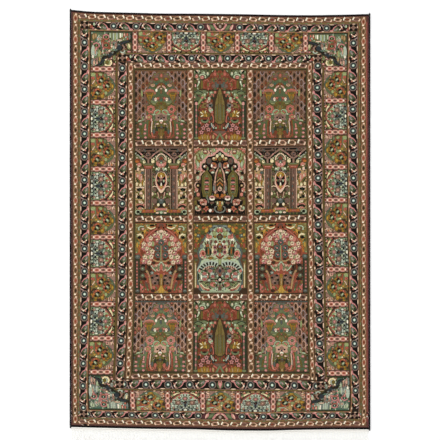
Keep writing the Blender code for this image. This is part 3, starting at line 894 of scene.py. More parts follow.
    # the base: gold strokes and a green gable
    p.pair("mustard", fan(-15.2, 71.5, 8.6, 205, 335, 5, 0.18))
    p.pair("tan", leaf(-18, 64.6, -17.2, 69, 1.3), leaf(-12.2, 64.6, -12.8, 69, 1.3),
            leaf(-6.8, 64, -6.4, 69, 2.2))
    p.pair("gold", (-15, 66.4, 0.5, 1.8))
    p.pair("salmon", line([(-6.4, 62.6), (-3.4, 64.4), (-2, 66.4)], 1.4), (-9.4, 66.6, 0.8, 2))
    p.draw("heather", [(-6.6, 60.6), (6.6, 60.6), (3, 63.4), (-3, 63.4)])
    p.draw("sage", [(0, 61.6), (4.6, 69), (-4.6, 69)])
    p.draw("rust", [(0, 64.8), (2.2, 69), (-2.2, 69)])
    # the canopy
    p.pair("umber", [(0, 0.6), (-6.4, 0.8), (-9.4, 3.4), (-12.6, 7.6), (-19.2, 9.4), (-20.4, 14),
            (-19.4, 19.4), (-12.4, 20.4), (0, 21)])
    p.pair("brick", [(0, 1), (-5.6, 1.4), (-8.6, 4), (-11.4, 8), (-16.6, 9.8), (-18.2, 14), (-16.8, 18.4),
            (-12, 19.2), (-6, 18.6), (0, 19.4)])
    speckle(p.pair, ("rust", "umber", "rust", "walnut", "salmon", "plum"),
            [(0, 1), (-5.6, 1.4), (-11.4, 8), (-16.6, 9.8), (-17, 18.4), (0, 19)], 84, 0.9, 8, 1.5)
    p.pair("rust", (-14, 14.6, 1.4, 4), line([(-12, 9.6), (-8.6, 6.6), (-4.6, 6.2)], 1.2),
            (-9.2, 15.6, 1, 3.4))
    p.pair("olive", (-18.2, 14.4, 1.2, 4.4))
    p.pair("salmon", (-5, 4.2, 1.6, 2), line([(-15.4, 10.6), (-12.6, 9.4), (-10.8, 11.6)], 0.9))
    p.pair("khaki", (-7.2, 9.2, 1, 1.3), (-3.8, 8.8, 0.9, 1.3), (-12, 14.4, 0.9, 1.9), (-2.3, 4, 0.8, 1.4))
    p.pair("green", (-6, 11, 1, 1.2), (-4.6, 18.6, 1.7, 1.2))
    p.pair("heather", (-5, 15.8, 3.4, 2.2))
    p.pair("slate", (-2.6, 15.4, 2.2, 2.2), (-4.2, 12.8, 1.2, 0.9))
    p.pair("moss", (0, 4.6, 0.9, 1.8))
    p.draw("umber", (0, 16.4, 1.6, 2.4))
    p.draw("plum", (0, 12.4, 1.6, 2.2))
    # the cypress
    p.pair("umber", [(0, 16.8), (-1.6, 18.4), (-2.8, 22), (-3.9, 26), (-5.4, 31), (-6, 37), (-6.2, 46),
            (-5.8, 51), (-3.4, 53.6), (0, 54.6)])
    p.pair("khaki", [(0, 17.8), (-1, 19.2), (-2, 23), (-3, 27), (-4.4, 31.4), (-5, 37.4), (-5.1, 46),
            (-4.6, 51), (-2.4, 53), (0, 53.4)])
    p.pair("olive", (-2.6, 43, 1, 9.4), (-1.2, 30, 0.5, 6))
    p.pair("sage", (-3.8, 42.5, 0.35, 8), (-0.9, 42, 0.35, 9))
    # between the cypress and the gable
    p.draw("bark", (0, 56.4, 4.4, 2.4))
    p.draw("brick", (-1.9, 56.6, 0.8, 2), (1.9, 56.6, 0.8, 2))
    p.draw("olive", (0, 56.4, 0.8, 1.9))
    p.pair("ink", (-4.2, 57.6, 1.5, 1.7))
    p.pair("mint", (-3.9, 57.5, 0.9, 1))
    # thin columns at the sides
    p.pair("pine", block(-26.5, 30, -22.2, 69))
    p.pair("mauve", line([(-23.8, 32), (-23.8, 66)], 1.3))
    p.pair("sage", (-23.8, 67.6, 2.2, 1.2))
    p.pair("pink", (-23.8, 33.2, 1.5, 1.9))
    for y in (39.5, 45.5, 51.0, 56.5, 62.0):
        p.pair("dusty", (-23.8, y, 0.8, 1.5))
        p.pair("sage", (-23.8, y + 2.7, 0.6, 0.8))
    return p, 53.0, 69.0


# %% [markdown]
# The outer panels of the second row. Their columns are plain blocks and strokes, and the dark
# spandrels over them set off the lamp that hangs between.

# %% The colonnade panel
def colonnade_panel():
    """A hanging lamp between two columns, under a double arch."""
    p = Cartoon()
    p.draw("moss", block(-26.4, 0, 26.4, 70))
    # dark spandrels over each column
    p.draw("heather", block(-26.4, 0, 26.4, 2.4))
    p.draw("umber", block(-26.4, 0, 26.4, 0.6))
    p.pair("ink", [(-24, 1.6), (-1.5, 1.6), (-4.6, 4.4), (-9, 8.2), (-13.2, 12.4), (-17.4, 8.8), (-21.6, 5)])
    p.pair("heather", block(-21.4, 3.6, -4.6, 4.6), diamond(-13, 7.8, 2.9, 3.2), diamond(-18, 3, 1.2, 1),
            diamond(-8.2, 3, 1.2, 1))
    p.pair("mauve", diamond(-13, 7.4, 1.3, 1.9), (-5.2, 2.4, 0.9, 0.5))
    speckle(p.pair, ("heather", "slate", "mauve", "navy"), [(-23, 2), (-3, 2), (-13, 11.6)], 20, 0.8, 2)
    p.pair("coal", diamond(-16.4, 6.6, 1.1, 1.3), diamond(-9.8, 6.6, 1.1, 1.3), diamond(-13, 10.2, 0.9, 1))
    # the double arch's outlines
    p.pair("mauve", line([(-26.4, 2.6), (-23.4, 4.4), (-19.4, 8.2), (-15.2, 11.2), (-13.2, 12.6), (-11, 11.4),
            (-7.4, 7.6), (-3, 4.8), (-0.2, 2.6)], 1.7))
    p.pair("pink", line([(-21.2, 6.6), (-18.6, 8.9)], 1.2), line([(-9.2, 9.4), (-6.4, 6.9)], 0.8))
    p.pair("ink", line([(-26.4, 4.6), (-23.6, 6.6), (-19.4, 10.2), (-15.6, 12.8), (-15, 17.8)], 1.6),
            line([(-1.2, 5.4), (-5.2, 8), (-8.6, 11.4), (-11.2, 13.4), (-11.4, 17.8)], 1.6))
    p.pair("mist", line([(-26.2, 6.4), (-23.4, 9.2), (-19.2, 12.4), (-17, 14.6), (-17.4, 17.6)], 1.6))
    speckle(p.pair, ("ink", "sage", "leaf", "ivory", "pine"),
            [(-25, 9), (-20, 12.6), (-15.4, 14), (-15.4, 17), (-20, 17), (-26, 14)], 16, 0.9, 5)
    speckle(p.pair, ("ink", "mint", "ivory", "pine"),
            [(-1, 7), (-6, 10.6), (-11, 14), (-11, 18), (-6, 24), (0, 22)], 26, 0.95, 5)
    p.pair("sage", (-24.2, 10.6, 2.2, 1.6), (-20.2, 14.4, 1.8, 1))
    p.pair("mauve", block(-13.9, 12.4, -12.3, 18.2))
    p.pair("ivory", (-17.4, 15.6, 1.5, 1.8), (-8.6, 14.8, 1.9, 2.2), (-9.4, 13, 0.9, 0.9))
    p.pair("pine", (-6, 19, 1.6, 2.6, 15))
    # the sides beyond the columns
    p.pair("tan", block(-26.4, 24, -17.2, 69))
    speckle(p.pair, ("ink", "olive", "ivory", "leaf", "blush", "pine", "umber", "sage"),
            block(-26.2, 7, -16.8, 68), 105, 0.95, 3)
    p.pair("rust", (-24.2, 14.4, 3.2, 2.6))
    p.pair("orange", (-24.6, 15.2, 2, 1.4))
    p.pair("coral", (-22.4, 18.6, 2.4, 2.2))
    p.pair("blush", (-22.6, 19.8, 1.2, 0.9), (-23.6, 23, 1.6, 2), (-19.2, 23.6, 2, 1.1))
    p.pair("pine", (-25.6, 22.6, 1.2, 1.6), (-17.8, 20.4, 1.4, 1.2))
    p.pair("slate", (-19, 26.8, 2, 1.7))
    p.pair("coral", [(-25.8, 27.4), (-23.2, 27.8), (-22.2, 29.6), (-20.4, 27.6), (-18.8, 30.2), (-19.6, 34.8),
            (-21.2, 36.4), (-23.8, 35), (-25.6, 31.2)])
    p.pair("blush", line([(-20.2, 29.8), (-20.6, 34.4)], 0.9), (-23.8, 30, 0.8, 1.8))
    p.pair("olive", leaf(-26, 31.2, -21, 38, 2.6), leaf(-18.8, 27.8, -17, 33.6, 1.7))
    p.pair("pine", leaf(-25.8, 32.4, -22.6, 36.6, 1.2), leaf(-18.4, 29, -17.4, 32.6, 0.8))
    p.pair("mustard", (-18.9, 37, 0.9, 2.8))
    p.pair("ivory", (-24.8, 38.4, 1.1, 2.2), (-21.2, 39.4, 1.3, 2), (-17.6, 38.4, 0.6, 2.4))
    p.pair("blush", block(-26, 41.2, -17.2, 42.6), (-20.6, 47.4, 1.8, 1.4), (-21, 56.6, 3, 1.4, 20),
            (-25.2, 50.2, 0.8, 2.2))
    p.pair("pine", (-22, 43.8, 2.2, 1.9), (-22.8, 51.8, 2, 1.8))
    p.pair("ink", (-23.6, 44, 1.4, 1.6), (-20.4, 43.6, 1.1, 1.4), (-23.4, 51.2, 1.5, 1.5),
            (-20.4, 52.6, 1.3, 1.2))
    p.pair("olive", leaf(-25.8, 46.2, -22.4, 49.4, 1.8), leaf(-18.8, 45, -17, 49.2, 1.8),
            leaf(-26, 54.4, -22.6, 58.4, 2), leaf(-19.2, 53.8, -16.8, 57.4, 1.7))
    p.pair("ivory", (-18.2, 51.2, 0.9, 2.6), (-24.6, 48.4, 0.7, 1), (-21.6, 57, 1.6, 0.6))
    p.pair("coral", line([(-25.2, 60.2), (-23, 58.6), (-20, 59.4), (-17.6, 62.2)], 1.1), (-21.8, 63, 2, 1.1),
            (-18, 59.8, 0.9, 1.6))
    p.pair("coal", bow(-21.2, 63.2, 3.4, 190, 350, 2, 3, steps=4))
    p.pair("ink", (-20, 60.8, 1.2, 1.2))
    p.pair("mint", (-23.6, 66.8, 2.8, 2.3))
    p.pair("ink", (-23.4, 66.6, 1.8, 1.4))
    # the columns
    p.pair("rose", block(-16.6, 22, -9.4, 63.4))
    p.pair("umber", block(-15.6, 22, -10.2, 63.4))
    p.pair("heather", block(-14.9, 22, -11.2, 63.4))
    p.pair("plum", block(-13.9, 24, -12.7, 63.4))
    for y in (30, 37.4, 44.8, 52.2, 59.0):
        p.pair("mauve", (-13.2, y, 1, 1.4))
        p.pair("slate", (-12.2, y + 3.6, 0.7, 1.4))
    p.pair("coal", block(-10.4, 22, -9.8, 63.4))
    p.pair("khaki", block(-18.2, 17.6, -7.6, 19.4))
    p.pair("sage", block(-17.2, 17.2, -9, 18.2))
    p.pair("brick", [(-18, 19.6), (-8.2, 19.6), (-9.6, 22.6), (-16.6, 22.6)])
    p.pair("coral", block(-16, 20.2, -10.4, 21))
    # between the columns
    p.draw("umber", block(-9.4, 24, 9.4, 63.4))
    speckle(p.pair, ("sage", "heather", "pine", "moss", "tan", "walnut", "teal"), block(-9.2, 24, 0, 63), 84,
            0.85, 7)
    p.pair("sage", line([(-8.8, 26), (-8.8, 62)], 0.8), (-7.4, 34, 1.3, 2), (-7, 44.6, 1.6, 2.2))
    p.pair("blush", line([(-9.2, 41.4), (-7, 40.4), (-4.4, 41.2)], 0.9), (-8.8, 48.4, 1.1, 2))
    p.pair("heather", (-7.6, 28.4, 1.9, 1.9), (-6.8, 44, 1.9, 1.7), (-6.6, 55.4, 2.6, 2.6),
            (-5.8, 37.2, 0.7, 1.8))
    p.pair("pine", (-7.6, 28.6, 0.9, 0.9), (-8.2, 32.4, 0.9, 1.2))
    p.pair("moss", bow(-6.6, 52.8, 2.6, 190, 350, 2.2, 2.8, steps=4))
    p.pair("leaf", (-6, 48.2, 1.2, 1), (-3.6, 51.6, 1, 1))
    p.pair("rose", line([(-3.6, 46.6), (-2.8, 50.2), (-1.6, 54)], 1), (-7.6, 59, 0.7, 1.2))
    p.pair("bark", (-6.2, 60.8, 2.8, 2))
    p.pair("mustard", (-5.2, 62.2, 1.6, 0.7))
    # the hanging lamp
    p.draw("green", (0, 7.6, 2.2, 2.6))
    p.pair("blush", line([(0, 7), (-2.6, 8.2), (-4.8, 11.2), (-5, 14)], 1.2))
    p.draw("plum", diamond(0, 12, 3.2, 3.2))
    p.draw("rust", diamond(0.2, 12, 1.8, 2))
    p.pair("coral", [(0, 17), (-2.4, 16.6), (-5, 14.8), (-5, 18.2), (-2.8, 20.6), (0, 21.6)])
    p.pair("pink", (-1.4, 18.6, 1.6, 1.6))
    p.pair("mauve", (-2.8, 15, 1.6, 1))
    p.draw("slate", (0, 15, 1.5, 1.1))
    p.draw("mint", (0, 16.4, 1.1, 1))
    p.pair("mint", (-3.9, 23.8, 2.2, 1.9), (-1.6, 22.4, 0.7, 1.4))
    p.pair("white", (-4.6, 22.4, 0.8, 0.8))
    p.pair("slate", (-4.2, 24.8, 1.2, 0.8))
    p.draw("plum", (0, 23.6, 1.6, 1.9))
    p.pair("blush", [(0, 25.4), (-3.4, 26.4), (-5.4, 29.6), (-6, 34), (-5.6, 38.4), (-3.8, 43), (-1.6, 46.4),
            (0, 47.6)])
    p.pair("coral", [(0, 26.2), (-3, 27.2), (-4.6, 30), (-5.2, 34), (-4.8, 38), (-3, 42), (0, 44.6)])
    p.pair("mustard", [(0, 26), (-2.8, 27), (-4, 29.4), (-3.2, 30.8), (0, 30.8)])
    p.draw("gold", (0, 28.2, 1.8, 1.6))
    p.pair("ink", [(-4.2, 29.8), (-1.6, 32.2), (0, 33.4), (0, 40), (-2.4, 40.6), (-4.2, 37.6), (-4.4, 33.4)])
    p.pair("coral", (-4.2, 34.6, 0.7, 1.2))
    p.draw("ivory", (0, 30.4, 0.8, 1.8))
    p.draw("mauve", (0, 34, 1.5, 1.4))
    p.draw("plum", (-0.6, 36.4, 1, 1))
    p.draw("mint", (2.6, 35.2, 0.8, 1.4))
    p.draw("sage", (-2.6, 35, 0.7, 1.2))
    p.draw("gold", (0, 40.6, 1.4, 2.4))
    p.draw("white", (0, 38.6, 0.7, 2))
    # the vase below
    p.draw("bark", (0, 50.6, 2.6, 2.6))
    p.draw("slate", [(-2.8, 53.2), (2.8, 53.2), (2, 58.2), (-2, 58.2)])
    p.draw("steel", (0, 54.4, 1.4, 1.4))
    p.draw("sage", (0, 51.4, 0.8, 1))
    p.pair("pine", (-3.4, 56.4, 1.4, 1.8))
    p.draw("coal", (0, 60.2, 1.9, 2.4))
    p.pair("ivory", (-3, 59.2, 1.4, 1.7))
    p.pair("white", (-3, 58.6, 0.7, 0.8))
    # the floor
    p.draw("pine", block(-26.4, 67.4, 26.4, 70))
    p.pair("brick", block(-19.8, 64.2, -7.4, 67.6))
    p.pair("orange", block(-18.8, 64.8, -9.6, 66.6))
    p.pair("salmon", block(-15.8, 65, -11.6, 66.2))
    p.pair("gold", (-6.4, 65.2, 1.2, 2))
    p.draw("rose", block(-6, 62.6, 6, 65.2))
    p.draw("coral", block(-4.4, 63, 4.4, 64.6))
    p.pair("blush", (-4, 67.6, 1.8, 1))
    p.draw("mint", (0, 67.2, 1.8, 1.5))
    p.pair("sage", (-2.2, 66, 1.1, 0.8))
    for x in (-16.6, -13.2, -9.8):
        p.pair("moss", block(x - 0.8, 67.6, x + 0.8, 70))
    p.pair("mint", bow(-23.6, 66.8, 2.6, 60, 250, 0.9, 2.2, steps=4))
    return p, 52.8, 70.0


# %% [markdown]
# The middle panel of the second row is the darkest of the rug, so its flowers are drawn in pale
# yarns straight onto a black ground.

# %% The night garden panel
def night_panel():
    """A striped tree and two cypresses on black, under a scalloped arch."""
    p = Cartoon()
    p.draw("bark", block(-26.5, 0, 26.5, 70))
    # pale striped spandrels with brown curls
    p.pair("rose", block(-26, 1.4, 0, 34))
    speckle(p.pair, ("mint", "coral", "blush", "leaf", "sage", "dusty", "ivory", "bark"),
            block(-26, 1.4, -1, 27), 100, 0.8, 3, 1.8)
    p.pair("leaf", (-6, 3.4, 2.4, 2.4), (-16.4, 8.4, 4.2, 4.6), (-22.4, 14, 2.4, 5.6), (-21.8, 7, 2.6, 3),
            (-12, 2.2, 1.4, 1.4))
    p.pair("mint", (-17.6, 10.2, 1.2, 2.2), (-22, 17.6, 1.3, 3.2), (-5.4, 2.8, 0.8, 1.4))
    p.pair("blush", (-25, 9.4, 0.8, 4), (-19.4, 18.4, 0.9, 5.2), (-9.2, 4.2, 1.2, 0.9))
    p.pair("coral", (-24, 4.8, 1.9, 2.6), (-24.8, 21, 0.8, 4.4), (-21.2, 23.6, 0.8, 2.6),
            (-3.6, 1.8, 1.4, 0.9))
    p.pair("salmon", (-24.6, 5.4, 1, 1.4), (-21.4, 2.2, 1.4, 0.9), (-17.6, 24, 1.4, 1.4))
    p.pair("khaki", line([(-26, 9.6), (-24, 6.4), (-20.6, 3.6), (-16.8, 1.9), (-12.6, 1.8)], 0.9),
            line([(-23.6, 9), (-23.2, 13), (-20.4, 14.4), (-18, 13.6)], 1.1))
    p.pair("bark", line([(-21.2, 6.4), (-20.4, 10.2), (-18.6, 12.6)], 1.2), (-14.6, 5.4, 2.8, 2.6))
    p.pair("blush", (-14.6, 5.2, 1.9, 1.7))
    p.pair("brick", (-14.6, 6.4, 1.6, 0.8))
    p.pair("ivory", (-14.5, 5, 0.9, 0.8))
    p.pair("bark", line([(-10.6, 1.6), (-10.2, 4.6), (-8.8, 6.6)], 1.1))
    p.pair("mustard", (-20.8, 15, 1, 1.4))
    p.pair("pink", line([(0, 1.4), (-1.4, 3.6), (-4.2, 6), (-8.8, 9), (-13.2, 10.4), (-15.8, 13.6),
            (-16.8, 15.4), (-19, 17), (-19.4, 22), (-18.2, 24.8)], 1.6))
    # the black ground under the scalloped arch
    p.pair("ink", [(0, 3.6), (-1.6, 5.4), (-3.4, 6.0), (-5.0, 8.6), (-8.4, 9.8), (-11.8, 10.2), (-14.2, 13.0),
            (-14.4, 16.6), (-17.0, 17.0), (-18.6, 20.4), (-17.4, 23.4),
                   (-14.4, 25.0), (-17.6, 27.6), (-19.4, 30), (-19.6, 52.6), (-25.0, 54.6), (-25.4, 69.4),
                   (0, 69.4)])
    speckle(p.pair, ("pine", "bark", "olive", "umber", "plum", "sage"),
            [(-1, 8), (-13, 13), (-18, 20), (-18, 32), (-18.6, 53), (-25, 56), (-25, 69), (0, 69)], 70, 0.75,
            5)
    # flowers under the arch's point
    p.pair("ivory", (-2.7, 9.4, 1.5, 2))
    p.pair("mint", (-0.6, 7.4, 0.9, 1.7))
    p.pair("olive", (0, 12.4, 1.9, 2.4))
    p.pair("tan", (-5.4, 12.2, 2.7, 1.9))
    p.pair("ivory", (-6.2, 11.6, 1.3, 1.1))
    p.pair("orange", (-3.9, 13, 1.1, 0.8))
    p.pair("slate", (-10.9, 14.8, 2.5, 3.2))
    p.pair("heather", (-10.9, 14.8, 1.7, 2.4))
    p.pair("plum", (-11, 15.2, 0.8, 1.6))
    p.pair("coral", (-6.2, 19, 3.1, 3.2))
    p.pair("salmon", (-5.6, 18.2, 1.9, 2))
    p.pair("orange", (-5.5, 17.4, 1.5, 1))
    p.pair("white", (-8.2, 19.4, 0.9, 1.8))
    p.pair("blush", (-5, 21.4, 1.6, 0.8))
    p.pair("pine", (-5.8, 19, 0.9, 1))
    p.pair("rose", (-15, 20.2, 1.9, 1.7))
    p.pair("white", (-15.6, 20, 1, 1))
    p.pair("brick", (-14, 20.8, 0.8, 0.9))
    p.pair("sage", (-12.4, 22.4, 1, 2.2))
    p.pair("mauve", (-7.8, 24.6, 2.6, 1.7))
    p.pair("brick", (-8.2, 24.6, 1.6, 1))
    p.pair("mint", (-7.2, 26.4, 1.9, 1.2))
    p.pair("white", (-7, 26.2, 0.9, 0.6))
    # the striped cypresses
    p.pair("olive", [(-13.2, 23.4), (-15.4, 26.6), (-18.2, 30.4), (-18.4, 44), (-17, 51.2), (-9.4, 51.2),
            (-8, 44), (-8.2, 30.4), (-11.2, 26.6)])
    p.pair("moss", [(-13.2, 25.2), (-15, 28), (-17.4, 31.2), (-17.6, 43.6), (-16.4, 49.4), (-10.2, 49.4),
            (-8.8, 43.6), (-9, 31.2), (-11.6, 28)])
    p.pair("khaki", [(-13.2, 26.4), (-14.6, 29), (-16.4, 32), (-16.6, 43.4), (-15.4, 48.6), (-11, 48.6),
            (-9.8, 43.4), (-10, 32), (-11.9, 29)])
    for yarn, y, across, high in (("sage", 30.2, 1.2, 1.3), ("brick", 32.6, 1.9, 1.1),
            ("pine", 34.8, 2.6, 1.0), ("dusty", 36.6, 2.5, 0.9), ("green", 38.8, 2.9, 0.9),
            ("brick", 40.6, 2.3, 1.1),
                                  ("dusty", 43.2, 2.4, 1.0), ("coal", 45.0, 2.2, 0.8),
                                  ("sage", 46.6, 2.1, 0.9), ("pine", 47.2, 0.9, 0.7)):
        p.pair(yarn, (-13.2, y, across, high))
    p.pair("leaf", (-11.2, 38.4, 0.5, 0.9), (-15.2, 38.4, 0.5, 0.9))
    p.pair("coral", (-13.2, 40.4, 0.9, 0.6))
    # the tree in the middle
    p.pair("mauve", [(0, 15.4), (-1.9, 17.6), (-2.2, 22.4), (-4.4, 26.6), (-5.4, 32), (-6.6, 38),
            (-6.8, 44.4), (-5.4, 48.4), (-3, 46.4), (0, 46.4)])
    p.pair("rose", line([(-1.6, 22.2), (-3.9, 26.8), (-4.6, 32.4), (-5.1, 37)], 1.3), (-4.9, 36, 0.9, 2),
            (-4.6, 46.4, 0.9, 1.9))
    p.pair("steel", (-6, 42.6, 1, 3.2), line([(0, 16.6), (0, 21)], 1.8))
    p.pair("ink", [(0, 20.8), (-1.7, 23), (-2.6, 27), (-3.8, 32), (-4.2, 38), (-3.8, 43.6), (-2, 46.4),
            (0, 46.8)])
    p.pair("olive", [(0, 22.2), (-1.4, 24.4), (-2.2, 28), (-3, 33), (-3.4, 38.6), (-2.9, 43.4), (0, 45.6)])
    p.draw("leaf", (0.3, 24.4, 0.9, 1.4))
    p.draw("rust", [(-2.3, 28.8), (0, 27), (2.3, 28.8), (1.9, 31), (-1.9, 31)])
    for yarn, y, wide in (("coal", 31.8, 1.1), ("tan", 33.4, 1.1), ("coal", 35.4, 1.0), ("orange", 37.2, 1.2),
            ("coal", 39.4, 1.1)):
        p.draw(yarn, line([(-3, y + 2.6), (0, y - 0.9), (3, y + 2.6)], wide))
    p.draw("rose", [(-2.3, 44.6), (-1.7, 41.6), (0, 40.4), (1.7, 41.6), (2.3, 44.6), (0, 45.6)])
    p.draw("ivory", (1, 42.4, 0.9, 0.9))
    p.draw("plum", (0, 43.4, 1, 1))
    # under the tree
    p.pair("bark", (-3.6, 50.4, 3.2, 2.8))
    p.pair("orange", (-2.2, 50, 1.9, 1.9))
    p.pair("mustard", (-5, 49.4, 1.1, 1.3))
    p.draw("ink", diamond(0, 49.4, 1.5, 1.9))
    p.draw("brick", (0, 52.4, 1.3, 0.8))
    # roses
    p.pair("pink", (-7.8, 52.2, 3.1, 2.4))
    p.pair("white", bow(-7.8, 52, 2.5, 20, 160, 1.5, 2.1, steps=4))
    p.pair("plum", (-7.8, 52, 1.3, 1))
    p.pair("coral", (-16.6, 56.6, 3.7, 3.4))
    p.pair("rose", (-18.4, 54.6, 1.9, 1.4), (-14.8, 58.4, 1.6, 1.4))
    p.pair("blush", (-17, 58.6, 1.3, 0.9))
    p.pair("brick", (-17.8, 56.8, 1.1, 1), (-15.6, 55, 1, 0.7))
    p.pair("bark", (-16.2, 57, 0.8, 0.9))
    p.pair("steel", line([(-12.8, 49.4), (-12.2, 53.6), (-11.4, 57.2)], 0.9))
    p.pair("sage", (-13.4, 51.6, 0.7, 1.7))
    p.pair("plum", (-8.4, 57.4, 1.8, 1.4))
    p.pair("heather", (-6.8, 57, 0.9, 1))
    # the vase
    p.draw("gold", (0, 58.4, 3.6, 2.9))
    p.pair("leaf", (-2.4, 57.6, 1.3, 2.4))
    p.pair("ivory", (-2.3, 57.2, 0.7, 1.5))
    p.draw("orange", (0, 58.6, 0.9, 2.4))
    p.pair("steel", line([(-3.2, 60.8), (-5, 61.6), (-5.2, 64.4), (-3.4, 66.6), (0, 67.4)], 1))
    p.draw("olive", (0, 63.4, 2.6, 2.4))
    p.draw("mustard", (0, 62.4, 1.3, 1.2))
    p.draw("rust", (0, 65, 1, 0.8))
    # the lowest flowers
    p.pair("rose", (-22, 63, 3.3, 3.1))
    p.pair("mint", (-23.9, 62.6, 1.2, 1.9))
    p.pair("ivory", (-21.6, 60.6, 1.3, 0.8))
    p.pair("brick", (-19.8, 62, 0.9, 1.2))
    p.pair("green", (-22.2, 63.4, 1, 1.2))
    p.pair("salmon", star(-14, 63.6, 3.6, 1.6, 4))
    p.pair("rust", (-14, 63.4, 1.4, 1.4))
    p.pair("orange", (-12.6, 61.6, 0.8, 0.8))
    p.pair("white", (-9.6, 65.2, 1.7, 1.8, 30))
    p.pair("brick", (-7.4, 66, 1.1, 1.1), (-17.4, 66.8, 1, 1.1))
    p.pair("heather", (-7, 64.2, 0.9, 1.2))
    # the sides under the arch
    p.pair("bark", block(-26.5, 24, -20.6, 55))
    speckle(p.pair, ("olive", "ink", "blush", "coral", "ink", "khaki", "mint"), block(-25.8, 24.6, -20.8, 60),
            46, 0.9, 4)
    p.pair("rose", (-25, 25.4, 0.9, 2.6), (-22, 32, 2.6, 2.8))
    p.pair("mint", (-22.2, 31.6, 1.5, 1.9))
    p.pair("ink", (-22.6, 27, 1.9, 1.4), (-21.6, 39.6, 2.4, 3), (-20.9, 44.8, 0.8, 2.4))
    p.pair("tan", (-22, 39.8, 1.2, 1.3))
    p.pair("ivory", (-22.2, 39.6, 0.6, 0.7))
    p.pair("rose", bow(-22, 39.6, 3.4, 100, 260, 1.1, 3.8, steps=4))
    p.pair("coral", (-23.4, 44.4, 1.9, 2.2), (-22, 48.8, 1.9, 1.9))
    p.pair("blush", (-22.8, 45, 0.7, 1.1))
    p.pair("pine", (-24.6, 48.6, 1.5, 2.3))
    p.pair("olive", (-24.6, 57, 1.3, 2.6), (-23.4, 52.6, 1.9, 1.1))
    p.pair("umber", block(-26.5, 69.2, 0, 70), block(-26.5, 0, 0, 0.6))
    return p, 53.0, 70.0


# %% [markdown]
# The outer panels of the third row. A blossom is a small drawing of its own, placed all over the
# tree in several sizes and yarns.

# %% The blossom tree panel
def blossom(ring, heart, size=1.0):
    p = Cartoon()
    p.draw(ring, star(0, 0, 3.1 * size, 2.2 * size, 5))
    p.draw("ivory", (-0.4, -0.5, 1.4 * size, 1.3 * size))
    p.draw(heart, (0, 0.1, 0.7 * size, 0.8 * size))
    return p


